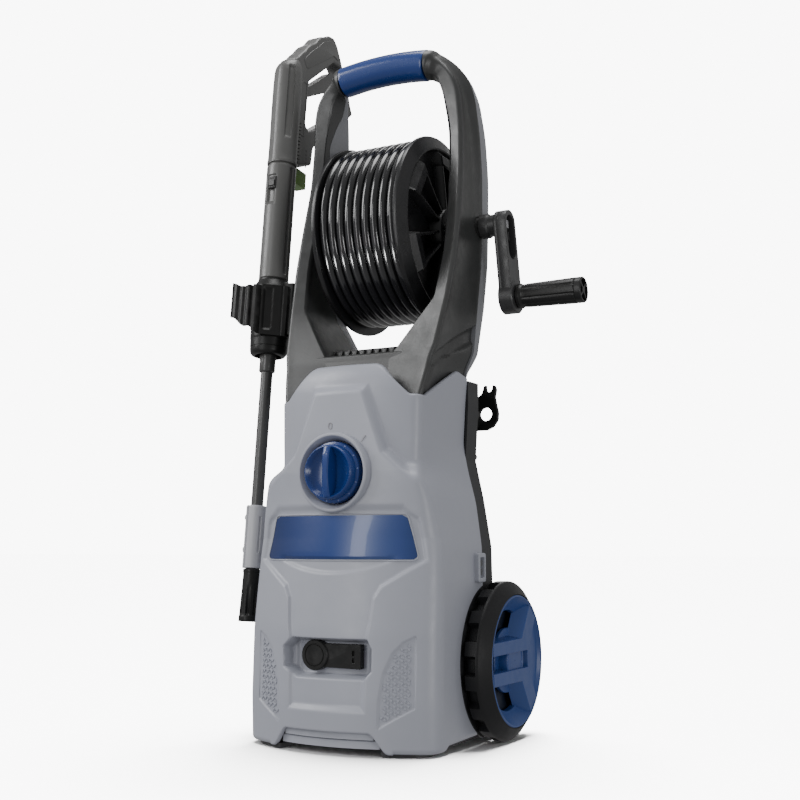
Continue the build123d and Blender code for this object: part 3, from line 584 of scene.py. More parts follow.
def front_housing():
    half = np.concatenate([np.linspace(0, FRONT_SHARE, 108), np.linspace(FRONT_SHARE, CORNER_SHARE, 8)[1:],
                           np.linspace(CORNER_SHARE, 1, 34)[1:]])
    share = np.concatenate([-half[:0:-1], half])
    grid_share, grid_up = np.meshgrid(np.abs(share), np.linspace(0, 1, 430))
    reach = reach_of(grid_share)
    low, high = bottom_edge(reach), top_edge(reach)
    z = low + (high - low) * grid_up
    x, y = body_point(z, grid_share)
    x = x * np.sign(share)[None, :]
    dx, dy = np.gradient(x, axis=1), np.gradient(y, axis=1)
    length = np.hypot(dx, dy)
    out_x, out_y = dy / length, -dx / length
    depth = front_relief(x, z) * np.clip((FRONT_REACH + 30 - reach) / 10, 0, 1)
    inset = rolled(high - z, 3.5) + rolled(z - low, np.where(reach > 70, 7.0, 2.5))
    skin = np.stack([x - out_x * inset, y - out_y * inset + depth, z], 2)

    def lip(row, rise):
        """One edge of the skin moved inwards by the lip's width, and up by rise."""
        return skin[row] + np.stack([-out_x[row] * LIP, -out_y[row] * LIP, np.full(len(share), rise)], 1)

    rings = [lip(0, 8.6), lip(0, 0.6), *skin, lip(-1, -1.0), lip(-1, -13.0)]
    points = [tuple(map(float, p)) for ring in rings for p in ring]
    piece("housing_front", points, grid_faces(len(rings), len(share)), "chassis", "body_grey", BODY,
          ["front_housing"], crease=50)


def front_surface_y(x, z):
    """y of the front at (x, z), pressed-in shapes included."""
    x, z = np.array([[float(x)]]), np.array([[float(z)]])
    share = np.abs(x) / eased(z, LOWER_BODY, 8)[1] * FRONT_SHARE
    y = body_point(z, np.minimum(share, FRONT_SHARE))[1]
    return float((y + front_relief(x, z))[0, 0])


def relief_patches():
    """Rows of small raised triangles on the two grip patches."""
    pitch = 7.4
    rise = pitch * math.sqrt(3) / 2
    points, faces = [], []
    for side, row, column, flip in itertools.product((-1, 1), range(22), range(-3, 16), (0, 1)):
        x = 60 + column * pitch + (row % 2) * pitch / 2 + flip * pitch / 2
        z = 28 + row * rise + rise * (1 + flip) / 3
        if depth_inside(np.array([[x]]), np.array([[z]]), PATCH)[0, 0] < pitch * 0.62:
            continue
        base = len(points)
        y = front_surface_y(x, z)
        for size, lift in ((0.70, 0.6), (0.48, -1.1)):
            for k in range(3):
                angle = math.radians(90 + 120 * k + 180 * flip)
                across, up = math.cos(angle) * pitch * 0.577 * size, math.sin(angle) * pitch * 0.577 * size
                points.append((side * (x + across), y + 2 * FRONT_BULGE * x * across + lift, z + up))
        faces.append((base + 3, base + 4, base + 5))
        faces += [(base + k, base + n, base + 3 + n, base + 3 + k) for k, n in ((0, 1), (1, 2), (2, 0))]
    piece("grip_patches", points, faces, "chassis", "body_grey", BODY, crease=20)


def foot_panel():
    """Stepped strip behind the notch at the foot, curved like the front, with a dark joint along it."""
    def strip(half, out, low, high):
        rings = []
        for i in range(25):
            x = half * (i / 12 - 1)
            y = -130.5 + out + FRONT_BULGE * x * x
            section = [(y, low), (y, high - 0.8), (y + 0.8, high), (y + 8, high), (y + 8, low)]
            rings.append([(x, *spot) for spot in section])
        return rings_mesh(rings)

    steps = merged([strip(60, 5.0, 18.8, 31), strip(66, 7.5, 8.5, 17.6)])
    piece("foot_strip", *steps, "chassis", "body_grey", BODY)
    piece("foot_joint", *strip(64, 8.6, 15.5, 21), "chassis", "body_black", BODY_BLACK)


def seam_flange():
    """Black flange inside the rear edge of each side, along the joint with the rear housing."""
    parts = []
    for side in (-1, 1):
        rings = []
        for z in range(196, 457, 5):
            x, y = (float(v[0, 0]) for v in body_point(np.array([[z]], float), np.array([[1.0]])))
            near, far, front, back = side * (x - 0.8), side * (x - 24), y - 2.2, y - 0.1
            rings.append([(near, front, z), (near, back, z), (far, back, z), (far, front, z)])
        parts.append(rings_mesh(rings))
    piece("seam_flange", *merged(parts), "chassis", "body_black", BODY_BLACK)


def foot_shadow_pads():
    """Black pads that the front corners stand on, a painted shadow: they make the black line of contact
    shadow under the housing's feet.
    """
    corners = [(68, -118), (106, -98), (117, -86), (117, -40), (68, -40)]
    # painted shadow: black blocks where only the contact shadow falls under the feet
    pads = [slab(rounded([(side * x, y) for x, y in corners], 6, 4), facing_up, 0.2, 6.0) for side in (-1, 1)]
    piece("foot_shadow_pads", *merged(pads), "chassis", "body_black", BODY_BLACK)


def label_frame():
    """Thin bead round the label."""
    def loop(grow):
        corners = [(-105.5 - grow, 224.4 - grow), (105.5 + grow, 224.4 - grow), (91.2 + grow, 277.6 + grow),
                   (-91.2 - grow, 277.6 + grow)]
        return rounded(corners, 6 + grow, 6)

    cuts = [max(1, int(math.dist(a, b) / 4)) for a, b in pairs(loop(0))]
    rings = []
    for grow, lift in ((0.0, 1.2), (0.3, -1.2), (0.8, -1.5), (1.4, -1.2), (2.0, 0.0), (2.2, 1.2)):
        spots = []
        for (a, b), count in zip(pairs(loop(grow)), cuts):
            spots += steps_between(a, b, count)
        rings.append([(x, front_surface_y(x, z) + lift, z) for x, z in spots])
    piece("label_bead", *rings_mesh(rings, loop=True), "chassis", "body_grey", BODY, crease=60)


def label():
    """Blank glossy label with rounded corners, let into the front."""
    top, foot = 277.0, 225.0
    radius = 5.0
    rows, width = 17, 61
    points = []
    for i in range(rows):
        z = foot + (top - foot) * i / (rows - 1)
        half = np.interp(z, [foot, top], [105, 91])
        corner = min(z - foot, top - z)
        if corner < radius:
            half -= radius - math.sqrt(radius ** 2 - (radius - corner) ** 2)
        for k in range(width):
            x = half * (2 * k / (width - 1) - 1)
            points.append((x, front_surface_y(x, z) - 0.9, z))
    faces = grid_faces(rows, width)
    rim = [*range(width), *range(2 * width - 1, rows * width, width)]
    rim += [*range(rows * width - 2, (rows - 1) * width - 1, -1), *range((rows - 2) * width, 0, -width)]
    base = len(points)
    points += [(points[i][0], points[i][1] + 1.9, points[i][2]) for i in rim]
    for k, (a, b) in enumerate(pairs(rim)):
        faces.append((a, b, base + (k + 1) % len(rim), base + k))
    piece("label_blank", points, faces, "chassis", "label_blue", label_material(), ["label_plate"], crease=30)


def label_material():
    """Deep blue with a painted highlight: it pales towards the middle of the right half, under a clear coat.
    """
    material = bpy.data.materials.new("label_blue_painted_highlight")
    material.use_nodes = True
    tree = material.node_tree
    place = add_node(tree, "TexCoord").outputs["Object"]
    across = add_node(tree, "SeparateXYZ", Vector=place).outputs["X"]
    highlight_ramp = add_node(tree, "ValToRGB", Fac=spread(tree, across, 0, 1, -0.105, 0.105))
    # painted highlight: the pale stop at 0.72 stands in for a reflection across the label's right half
    stops = [(0.0, (0.003, 0.016, 0.085)), (0.25, (0.004, 0.026, 0.140)), (0.50, (0.005, 0.034, 0.175)),
             (0.72, (0.040, 0.075, 0.215)), (0.90, (0.018, 0.046, 0.180)), (1.0, (0.007, 0.028, 0.125))]
    while len(highlight_ramp.color_ramp.elements) < len(stops):
        highlight_ramp.color_ramp.elements.new(0.5)
    for element, (at, colour) in zip(highlight_ramp.color_ramp.elements, stops):
        element.position = at
        element.color = (*colour, 1)
    gloss = spread(tree, noise(tree, 40, 2, place), 0.28, 0.31, 0, 1)
    feed(tree, tree.nodes["Principled BSDF"], Coat_Weight=0.3, Base_Color=highlight_ramp.outputs["Color"],
         Roughness=gloss)
    return material


# ---- knob and bezel ----
def along_y(x, z):
    return lambda along, radius, angle: (x + radius * math.cos(angle), along, z + radius * math.sin(angle))


def bezel():
    profile = [(-101, 49.0), (-114.2, 48.2), (-115.6, 47.4), (-116, 46.4), (-115.9, 44.6), (-114.9, 43.6),
               (-105, 39.0), (-99.0, 38.6), (-98.0, 45.0)]
    piece("knob_bezel_ring", *lathe(profile, along_y(0, KNOB_Z), 96), "chassis", "bezel_grey", BODY,
          ["knob_bezel"], crease=40)


def knob():
    """Round knob: a dotted skirt, a dished face and a tall grip bar."""
    skirt = [(-99.5, 4.0), (-99.5, 37.8), (-110.5, 37.6), (-112.6, 36.8), (-113.4, 35.2), (-114.0, 33.6),
             (-124.2, 32.6), (-125.6, 31.8), (-126, 30.8), (-125.2, 29.9), (-120, 27.5), (-116.0, 21.0),
             (-114.2, 12.0), (-113.8, 4.0)]
    bar = []
    for i in range(17):
        t = i / 16 * 2 - 1
        z = KNOB_Z + t * 30.2
        top = -131.0 + 4.2 * abs(t) ** 3
        half = 4.6 + 0.9 * abs(t)
        flank = [(half + 2.4, -112, z), (half, -121, z), (half - 0.6, top + 1.2, z), (half - 2.0, top, z)]
        bar.append([(-x, y, z) for x, y, z in flank] + flank[::-1])
    piece("power_knob_blue", *merged([lathe(skirt, along_y(0, KNOB_Z), 96), rings_mesh(bar)]), "knob",
          "blue_plastic", BLUE, ["power_knob"], crease=40)
    dot = [(-112.6, 0.2), (-113.6, 0.2), (-113.7, 0.7), (-113.4, 1.1), (-112.6, 1.2)]
    dots = []
    for k in range(11):
        angle = math.radians(60 - 27 * k)
        dots.append(lathe(dot, along_y(35.2 * math.cos(angle), KNOB_Z + 35.2 * math.sin(angle)), 10))
    piece("knob_dots", *merged(dots), "knob", "blue_plastic", DOT_BLUE)


def dial_marks():
    """Raised 0 and I beside the knob."""
    x, z = -8, 386
    lean = front_surface_y(x, z)
    ring, hole = ([(x + a * math.cos(TAU * i / 20), z + b * math.sin(TAU * i / 20)) for i in range(20)]
                  for a, b in ((3.0, 4.6), (1.9, 3.5)))
    parts = [plate(ring, [hole], facing_front, lean - 0.7, lean + 1.5)]
    turn = math.radians(-38)
    c, s = math.cos(turn), math.sin(turn)
    x, z = 38.0, 369.0
    lean = front_surface_y(x, z)
    corners = [(-0.7, -4.6), (0.7, -4.6), (0.7, 4.6), (-0.7, 4.6)]
    stroke = [(x + a * c - b * s, z + a * s + b * c) for a, b in corners]
    parts.append(slab(stroke, facing_front, lean - 0.7, lean + 1.5))
    piece("dial_marks", *merged(parts), "chassis", "bezel_grey", MARK_GREY)


# ---- outlet cap in the pocket ----
CAP_X, CAP_Z, CAP_FLOOR = -20.0, 112.0, -104.0


def outlet_cap():
    """Black cap: a round head with a groove, and a flat pull tab with a slot."""
    front = CAP_FLOOR - 14
    head = [(CAP_FLOOR - 0.6, 0.05), (CAP_FLOOR - 0.6, 18.0), (front + 1.0, 18.0), (front, 17.0),
            (front, 13.4), (front + 0.8, 13.0), (front + 0.8, 12.2), (front, 11.8), (front, 0.05)]
    stem = [(CAP_FLOOR + 13.5, 0.05), (CAP_FLOOR + 13.5, 8.9), (CAP_FLOOR - 1, 8.9), (CAP_FLOOR - 1, 0.05)]
    tab = rounded([(CAP_X, 98.4), (42, 97.6), (42, 126), (CAP_X, 125.8)], [0.5, 1.5, 1.5, 0.5])
    slot = [(30.4, 104.5), (34.0, 104.5), (34.0, 118.5), (30.4, 118.5)]
    bridge = [(29.2, 110.4), (35.2, 110.4), (35.2, 112.6), (29.2, 112.6)]
    parts = [lathe(head, along_y(CAP_X, CAP_Z), 64), lathe(stem, along_y(CAP_X, CAP_Z), 40),
             plate(tab, [slot], facing_front, CAP_FLOOR - 12, CAP_FLOOR - 3, 0.7),
             slab(rounded(slot, 0.2), facing_front, CAP_FLOOR - 9, CAP_FLOOR - 4),
             slab(bridge, facing_front, CAP_FLOOR - 11.4, CAP_FLOOR - 5)]
    piece("outlet_cap_black", *merged(parts), "cap", "cap_black", BLACK, ["outlet_cap"])


def pocket_floor():
    """Black socket ring on the pocket's floor, behind the cap."""
    ring = [(-104.6, 19.6), (-107.5, 19.6), (-108.2, 18.9), (-108.2, 18.3), (-103.0, 18.2)]
    piece("cap_socket", *lathe(ring, along_y(CAP_X, CAP_Z), 64), "chassis", "body_black", BODY_BLACK)


front_housing()
relief_patches()
foot_panel()
seam_flange()
foot_shadow_pads()
label()
label_frame()
bezel()
knob()
dial_marks()
outlet_cap()
pocket_floor()


# ---- frame ----
GRIP_Y, GRIP_Z, GRIP_HALF = 21.0, 885.0, 64.5
# way up the leg, x and z of its inner edge, x and z of its outer edge, x of its ridge, y of its front, seam
# and back, and how round it is
LEG = [(404, 47, 404, 101, 404, 93, -74, 34, 38, 0), (424, 46, 424, 103, 424, 97, -71, 38, 42, 0),
       (455, 44, 455, 107, 455, 102.5, -62, 41, 53, 0), (466, 43, 466, 108, 466, 103.5, -59, 43, 59, 0),
       (474, 43, 474, 111, 474, 105, -57, 44, 64, 0), (489, 53, 489, 117, 489, 109, -52, 46, 69, 0),
       (552, 94.5, 552, 120.5, 552, 115.5, -32, 52, 83, 0),
       (610, 100, 610, 122, 610, 118.6, -16, 62, 93, 0), (665, 99, 665, 122, 665, 118, -2, 66, 97, 0),
       (735, 97, 735, 121.5, 735, 114.5, 14, 68, 100, 0), (790, 95, 790, 121, 790, 112.5, 18, 62, 93, 0),
       (840, 86, 840, 119, 842, 109, 14.5, 50, 76, 0), (862, 77, 858, 110, 869, 99, 8, 43, 60, 0.25),
       (878, 69.5, 862, 93, 887, 86, 2.5, 33, 47, 0.7),
       (893, 66.2, 860.4, 75, 898.6, 71, 0.6, GRIP_Y, 41.5, 0.96),
       (904, 64.7, 859.5, 64.7, 900.5, 64.7, 0.5, GRIP_Y, 41.5, 1)]


# height, and how far forward of the outer side's seam the inner side's seam lies
INNER_SEAM = [(404, 0), (560, 0), (600, 12), (650, 26), (700, 32), (795, 31), (822, 16), (845, 0), (912, 0)]


FLANK_POINTS = 19


def running_lengths(spots):
    """Way along a path at each of its points."""
    lengths = [0.0]
    for a, b in zip(spots, spots[1:]):
        lengths.append(lengths[-1] + math.dist(a, b))
    return lengths


def leg_outline(front, width, ridge, near, seam, back, inner):
    """Half a leg's section: the front half from the inner to the outer edge, or the rear half back again."""
    if not front:
        return [(width, seam + 0.3), (width - 0.4, seam * 0.5 + back * 0.5 - 3), (width - 1.0, back - 11),
                (width - 2.6, back - 5), (width - 5, back - 1.6), (width - 9, back), (width * 0.5, back),
                (9, back), (4, back - 1.6), (1.2, back - 5), (0, back - 11), (0, inner + 0.3)]
    start = [(0, inner - 0.3), (0, inner * 0.6 + near * 0.4), (0, inner * 0.25 + near * 0.75),
             (0, min(near + 9, inner * 0.2 + near * 0.8)), (0.6, near + 5.6)]
    face = [(2.5 + (ridge - 6.5) * i / 5, near + 3.4 - 3.2 * i / 5) for i in range(6)]
    edge = [(ridge - 2.6, near), (ridge - 0.9, near + 0.5), (ridge + 0.9, near + 2.2)]
    flank = []
    for i in range(FLANK_POINTS):
        t = i / (FLANK_POINTS - 1)
        hollow = 5.0 * math.sin(math.pi * min(1, t * 1.06)) * (0.75 + 0.5 * t)
        flank.append((ridge + 1.9 + (width - ridge - 1.9) * t - hollow, near + 5.0 + (seam - 5.3 - near) * t))
    return start + face + edge + flank


def leg_ring(station, front):
    """One ring of points round half a leg. Roundness draws it towards half a circle."""
    height, in_x, in_z, out_x, out_z, ridge_x, near, seam, back, roundness = station
    inner = seam - eased(height, INNER_SEAM, 6)[0]
    wide = out_x - in_x
    span = math.hypot(wide, out_z - in_z)
    ridge = (ridge_x - in_x) / wide * span if wide > 1 else span * 0.7
    spots = leg_outline(front, span, ridge, near, seam, back, inner)
    lengths = running_lengths(spots)
    way = -1 if front else 1
    ring = []
    for (across, y), run in zip(spots, lengths):
        turn = run / lengths[-1] * math.pi
        across += (span / 2 + way * span / 2 * math.cos(turn) - across) * roundness
        y += (seam + way * span / 2 * math.sin(turn) - y) * roundness
        ring.append((in_x + wide * across / span, y, in_z + (out_z - in_z) * across / span))
    return ring


def limited(value):
    return min(1.0, max(0.0, value))


def chevron_depth(share, z):
    """Relief low on the leg's outer side: a pressed-in band that bends down along the ridge."""
    bend = 53 * share ** 0.85
    facet = limited((452 + bend - z) / 3.0) * limited((share - 0.10) / 0.06)
    return 6.0 * limited((474 + bend - z) / 4.5) - 3.2 * facet


def leg_rings(front):
    heights = [404 + 10 * i for i in range(5)] + [446 + 2.5 * i for i in range(36)]
    heights += [538 + 6 * i for i in range(50)] + [838 + 2.4 * i for i in range(28)]
    rings = []
    for height in heights:
        reach = 0 if height >= 900 else 2 if height >= 890 else 12 if height > 560 else 3
        ring = leg_ring([height] + [float(v) for v in eased(height, LEG, reach)], front)
        if front and height < 535:
            first = len(ring) - FLANK_POINTS
            for i in range(first, len(ring)):
                share = (i - first) / (FLANK_POINTS - 1)
                x, y, z = ring[i]
                ring[i] = (x - chevron_depth(share, z) * min(1, share / 0.06), y, z)
        rings.append(ring)
    return rings


def frame_half(front):
    points, faces = rings_mesh(leg_rings(front))
    return merged([(points, faces), ([(-x, y, z) for x, y, z in points], faces)])


def crossbar():
    """Cross member between the legs' feet: a front band flush with the legs, and a ribbed wall behind it."""
    outline = [(-66.5, 428), (-58.5, 455), (-55.6, 466), (-53.6, 474), (-52.6, 480.5), (-50.6, 482.6),
               (-47.6, 482.4), (-45, 477.6), (-20, 477.6), (-14, 494.6), (-11, 496), (4, 496), (40, 488),
               (44, 484), (44, 428)]
    bar = rounded(outline, [1, 6, 6, 4, 2, 1.5, 1.5, 1.5, 2, 2, 2, 4, 4, 3, 1], 3)
    parts = [slab(bar, facing_side, -62, 62)]
    rib = [(-46, 477), (-18, 477), (-12.6, 495), (-17.6, 494.4), (-25, 481.4), (-46, 479.4)]
    parts += [slab(rib, facing_side, x - 1.1, x + 1.1) for x in range(-55, 56, 11)]
    return merged(parts)


def make_frame():
    piece("frame_front", *merged([frame_half(True), crossbar()]), "chassis", "frame_dark", FRAME,
          ["frame_front_shell"], crease=32)
    rear = piece("frame_rear", *frame_half(False), "chassis", "frame_light", FRAME_PALE, ["frame_rear_shell"],
                 crease=32)
    bevelled(rear, 1.2, 2, 50)


# ---- grip ----
def grip_ring(x, radius):
    lean = math.atan(2 * 5.0 * x / GRIP_HALF ** 2)
    z = GRIP_Z - 5.0 * (x / GRIP_HALF) ** 2
    ring = []
    for i in range(48):
        angle = TAU * i / 48
        up = radius * math.sin(angle)
        ring.append((x + up * math.sin(lean), GRIP_Y + radius * math.cos(angle), z + up * math.cos(lean)))
    return ring


def make_grip():
    end = [(64.2, 12), (64.3, 19.6), (63.9, 20.4), (63.0, 20.7)]
    spots = [(-x, r) for x, r in end] + [(x, 20.7) for x in range(-60, 61, 4)] + end[::-1]
    piece("grip_sleeve", *rings_mesh([grip_ring(x, r) for x, r in spots]), "chassis", "grip_blue", BLUE,
          ["handle_grip"], crease=40)


# ---- reel ----
DISC_FACE = 61.2


def along_x(y, z, side=1):
    return lambda along, radius, angle: (side * along, y + radius * math.cos(angle),
                                         z + radius * math.sin(angle))


def on_flange(side, angle):
    """(along, radial, across) to a point on the reel, for a spoke at that angle."""
    c, s = math.cos(angle), math.sin(angle)
    return lambda along, radial, across: (side * along, REEL_Y + radial * c - across * s,
                                          REEL_Z + radial * s + across * c)


def spoke(side, angle):
    """Trough-shaped spoke on the disc's face, which widens outwards and ends in a sloping block."""
    at = on_flange(side, angle)
    parts = []
    for edge in (-1, 1):
        wall_rings = []
        for radial, half, top in ((29, 5.5, 75), (60, 11.0, 74.5), (88, 17.0, 74)):
            section = [(DISC_FACE, half - 0.5), (DISC_FACE, half + 6.5), (top - 1.2, half + 4.6),
                       (top, half + 3.6), (top, half + 0.8)]
            wall_rings.append([at(along, radial, edge * across) for along, across in section])
        parts.append(rings_mesh(wall_rings))
    block_rings = []
    for radial, half, top in ((86, 21.5, 74), (88, 22.5, 75.4), (99, 25.5, 74.6), (108.5, 28.0, 66)):
        section = [(DISC_FACE, half + 3), (top - 1.5, half), (top, half - 2)]
        block_rings.append([at(DISC_FACE, radial, -half - 3)] + [at(a, radial, b) for a, b in section]
                           + [at(a, radial, -b) for a, b in section[:0:-1]])
    parts.append(rings_mesh(block_rings))
    return merged(parts)


def make_flange(side):
    profile = [(56.9, 96), (56.9, 128.6), (57.8, 129.4), (60.5, 129.5), (62.8, 128.8), (69.2, 114.0),
               (70.0, 112.4), (69.6, 110.6), (68.4, 109.8), (62.2, 108.2), (61.4, 106.8), (DISC_FACE, 34),
               (62.2, 32.6), (75.6, 30.6), (77.4, 29.4), (77.8, 27.6), (77.8, 8.2), (57.0, 8.2), (56.9, 20)]
    bolt = [(77.2, 0.3), (80.2, 0.3), (80.2, 3.2), (79.4, 4.0), (77.2, 4.0)]
    parts = [lathe(profile, along_x(REEL_Y, REEL_Z, side), 120)]
    parts += [spoke(side, math.radians(60 * i + 28)) for i in range(6)]
    for i in range(3):
        angle = math.radians(120 * i + 58)
        at = along_x(REEL_Y + 20 * math.cos(angle), REEL_Z + 20 * math.sin(angle), side)
        parts.append(lathe(bolt, at, 6))
    word = SIDE_WORDS[side]
    made = piece("reel_disc_" + word, *merged(parts), "reel", "reel_black", REEL_BLACK,
                 ["reel_flange_" + word], crease=32)
    bevelled(made, 0.7, 2, 40)


# ---- crank ----
CRANK_TOP, CRANK_LOW = (62.0, 660.0), (82.0, 566.0)


def stadium(a, b, ra, rb, steps=20):
    """Outline round two circles."""
    lean = math.atan2(b[1] - a[1], b[0] - a[0])
    swing = math.acos((ra - rb) / math.dist(a, b))
    made = []
    for (x, z), r, start, sweep in ((a, ra, lean + swing, TAU - 2 * swing), (b, rb, lean - swing, 2 * swing)):
        for i in range(steps + 1):
            angle = start + sweep * i / steps
            made.append((x + r * math.cos(angle), z + r * math.sin(angle)))
    return made


def between(t):
    return tuple(CRANK_TOP[i] + (CRANK_LOW[i] - CRANK_TOP[i]) * t for i in range(2))


def make_crank():
    """Flat arm: a boss with a black hollow at the axle end, a round boss with a collar at the grip end."""
    outer = stadium(CRANK_TOP, CRANK_LOW, 18.0, 18.5, 28)
    upper, lower = between(0.02), between(0.36)
    hollow = stadium(upper, lower, 13.2, 12.4, 20)
    turn_hole = circle(*CRANK_TOP, 8.1, 40)
    low_hole = circle(*CRANK_LOW, 8.1, 40)
    collar = [(145.2, 8.2), (145.2, 21.4), (146.2, 22.4), (163.8, 22.4), (165.0, 21.4), (165.4, 19.5),
              (165.4, 8.2)]
    neck = [(123.4, 8.3), (123.4, 15.0), (124.4, 16.0), (134, 16.2), (136.5, 14.4), (146.6, 14.4),
            (146.6, 8.3)]
    parts = [plate(outer, [turn_hole, low_hole], facing_side, 146, 151, 1.0),
             plate(outer, [hollow, low_hole], facing_side, 150.4, 163.5, 1.0),
             lathe(collar, along_x(*CRANK_LOW), 64), lathe(neck, along_x(*CRANK_TOP), 56)]
    piece("crank_lever", *merged(parts), "reel", "crank_dark", CRANK, ["crank_arm"], crease=30)
    lined = plate(stadium(upper, lower, 13.0, 12.2, 20), [turn_hole], facing_side, 150.6, 152.2)
    nut_profile = [(152.0, 8.3), (157.5, 8.3), (158.2, 7.6), (158.2, 0.5), (152.0, 0.5)]
    nut = lathe(nut_profile, along_x(*CRANK_TOP), 6)
    high_end, low_end = between(0.12), between(0.24)
    thick = [tuple(v + 2 for v in end) for end in (low_end, high_end)]
    web = slab([low_end, *thick, high_end], facing_side, 151, 159)
    piece("crank_hollow", *merged([lined, nut, web]), "reel", "reel_black", REEL_BLACK)


def make_crank_grip():
    """Turning grip with long grooves and a four-spoked open end."""
    start, end = 166.4, 255.6
    count = 96
    place = along_x(*CRANK_LOW)
    spots = [(start, 13.0), (start + 0.8, 16.2), (start + 4.5, 16.6), (start + 6.5, 15.2),
             (start + 9, 15.0), (start + 14, 15.6), (end - 14, 16.9), (end - 10, 16.9), (end - 9, 16.1),
             (end - 8, 16.9), (end - 1.2, 16.9), (end, 16.1), (end, 14.4), (end - 7, 14.0),
             (end - 7.2, 9.0), (end - 30, 9.0), (end - 30, 8.2), (start, 8.2)]

    def groove(x, radius, angle):
        """Depth of the eight long grooves in the grip's outside."""
        if radius < 15 or not start + 12 < x < end - 9.5:
            return 0.0
        away = min(abs((math.degrees(angle) - 22 - 45 * k + 180) % 360 - 180) for k in range(8))
        return 1.5 * max(0.0, 1 - (away / 5.5) ** 4)

    turns = [TAU * i / count for i in range(count)]
    rings = [[place(x, radius - groove(x, radius, turn), turn) for turn in turns] for x, radius in spots]
    parts = [rings_mesh(rings, loop=True)]
    for k in range(4):
        angle = math.radians(45 + 90 * k)
        c, s = math.cos(angle), math.sin(angle)
        corners = [(2, -1.3), (14.6, -1.3), (14.6, 1.3), (2, 1.3)]
        bar = [(CRANK_LOW[0] + a * c - b * s, CRANK_LOW[1] + a * s + b * c) for a, b in corners]
        parts.append(slab(bar, facing_side, end - 6.8, end - 0.8))
    hub = [(end - 7, 0.5), (end - 7, 4.6), (end - 0.8, 4.6), (end - 0.3, 4.0), (end - 0.3, 0.5)]
    parts.append(lathe(hub, place, 32))
    piece("crank_sleeve", *merged(parts), "crank_handle", "crank_dark", CRANK_GRIP, ["crank_grip"], crease=32)


make_frame()
make_grip()
for reel_side in SIDE_WORDS:
    make_flange(reel_side)
make_crank()
make_crank_grip()


# ---- wheels ----
def tread(angle, x):
    """How deep the tread is cut at that angle: rounded notches on the inner half."""
    blocks = 15
    place = (angle / TAU * blocks) % 1
    notch = limited((0.29 - abs(place - 0.5)) / 0.055)
    return 8.6 * notch * limited(1 - (x - 147) / 3.2)


def make_tyre(side):
    profile = [(134.2, 81.8), (134.2, 93.0), (135.0, 95.6), (136.6, 97.4), (139, 98.1), (143, 98.3),
               (146.8, 98.35), (149, 98.4), (151, 98.4), (152.6, 98.2), (154.2, 97.4), (155.6, 96.0),
               (160.5, 89.2), (164.6, 83.6), (165.4, 82.4), (165.4, 81.7), (163.6, 81.5), (150, 81.5)]
    count = 360
    place = along_x(WHEEL_Y, WHEEL_R, side)
    rings = []
    for i in range(count):
        angle = TAU * i / count
        ring = []
        for x, radius in profile:
            if radius > 90 and x < 151:
                radius -= tread(angle, x) * (1.0 if x > 134.5 else 0.45)
            ring.append(place(x, radius, angle))
        rings.append(ring)
    word = SIDE_WORDS[side]
    piece("wheel_tyre_" + word, *rings_mesh(rings, loop=True), "wheel_" + word, "tyre_black", TYRE,
          ["tyre_" + word], crease=30)


def wheel_slab(side, top, base, x_top, x_base):
    """Raised bar whose flanks slope from its top out to its base. Outlines are (y, z) from the hub."""
    rings = []
    for x, share in ((x_base, 0.0), (x_top - 1.2, 0.9), (x_top, 1.0)):
        rings.append([(side * x, WHEEL_Y + y * share + b * (1 - share), WHEEL_R + z * share + c * (1 - share))
                      for (y, z), (b, c) in zip(top, base)])
    return rings_mesh(rings)


def make_rim(side):
    """Blue dish with two bent spokes, three windows and a hub cap."""
    place = along_x(WHEEL_Y, WHEEL_R, side)
    dish = [(134.4, 76.5), (134.4, 81.2), (163.4, 81.4), (165.2, 81.0), (165.8, 80.0), (165.4, 78.8),
            (164.2, 78.0), (157, 70.0), (153.2, 65.2), (152.2, 63.6), (151.4, 62.2), (144.5, 61.6),
            (143.6, 62.6), (149, 75), (147.5, 76.5)]
    top = [(-76.6, 10.5), (-74.4, 25.6), (14, 26.4), (41.0, 66.0), (60.5, 50.4), (39.4, 15.0), (35, 10.8)]
    base = [(-77.5, 8.0), (-75.0, 28.6), (2.0, 30.8), (27, 69.0), (66.0, 46.0), (44.4, 12.0), (37, 8.4)]
    turns = [math.radians(-34.5 + 5.75 * i) for i in range(13)]
    arc = [(77.0 * math.cos(turn), 77.0 * math.sin(turn)) for turn in turns]
    web_top = [(43, -10), (58, -40), *arc, (58, 40), (43, 10)]
    web_base = [(38, -10), (54, -42), *arc, (54, 42), (38, 10)]
    shelf = [(146.2, 17.0), (146.2, 40.0), (150.2, 40.0), (150.8, 39.2), (150.8, 17.0)]
    hub = [(134.2, 6.3), (134.2, 17.2), (146, 17.2), (150, 17.2), (150.4, 27.6), (160.4, 27.0),
           (162.0, 26.2), (162.6, 24.6), (162.6, 22.4), (161.6, 21.6), (161.6, 0.6), (158.4, 0.6),
           (158.4, 6.3)]
    parts = [lathe(dish, place, 120)]
    for flip in (1, -1):
        flipped = [[(y, z * flip) for y, z in outline] for outline in (top, base)]
        parts.append(wheel_slab(side, *flipped, 165.6, 148.5))
    parts += [wheel_slab(side, web_top, web_base, 161.5, 147), lathe(shelf, place, 80), lathe(hub, place, 80)]
    word = SIDE_WORDS[side]
    back = [(137.0, 17.3), (137.0, 76.4), (138.6, 76.4), (138.6, 17.3)]
    piece("wheel_back_" + word, *lathe(back, place, 72), "wheel_" + word, "tyre_black", WHEEL_BACK)
    made = piece("wheel_rim_" + word, *merged(parts), "wheel_" + word, "rim_blue", BLUE_RIM, ["rim_" + word],
                 crease=30)
    bevelled(made, 0.9, 2, 38)


# ---- gun and lance ----
LANCE_LEAN = math.radians(5.8)


LANCE_X, LANCE_Y, LANCE_Z = -156.0, -22.0, 520.0


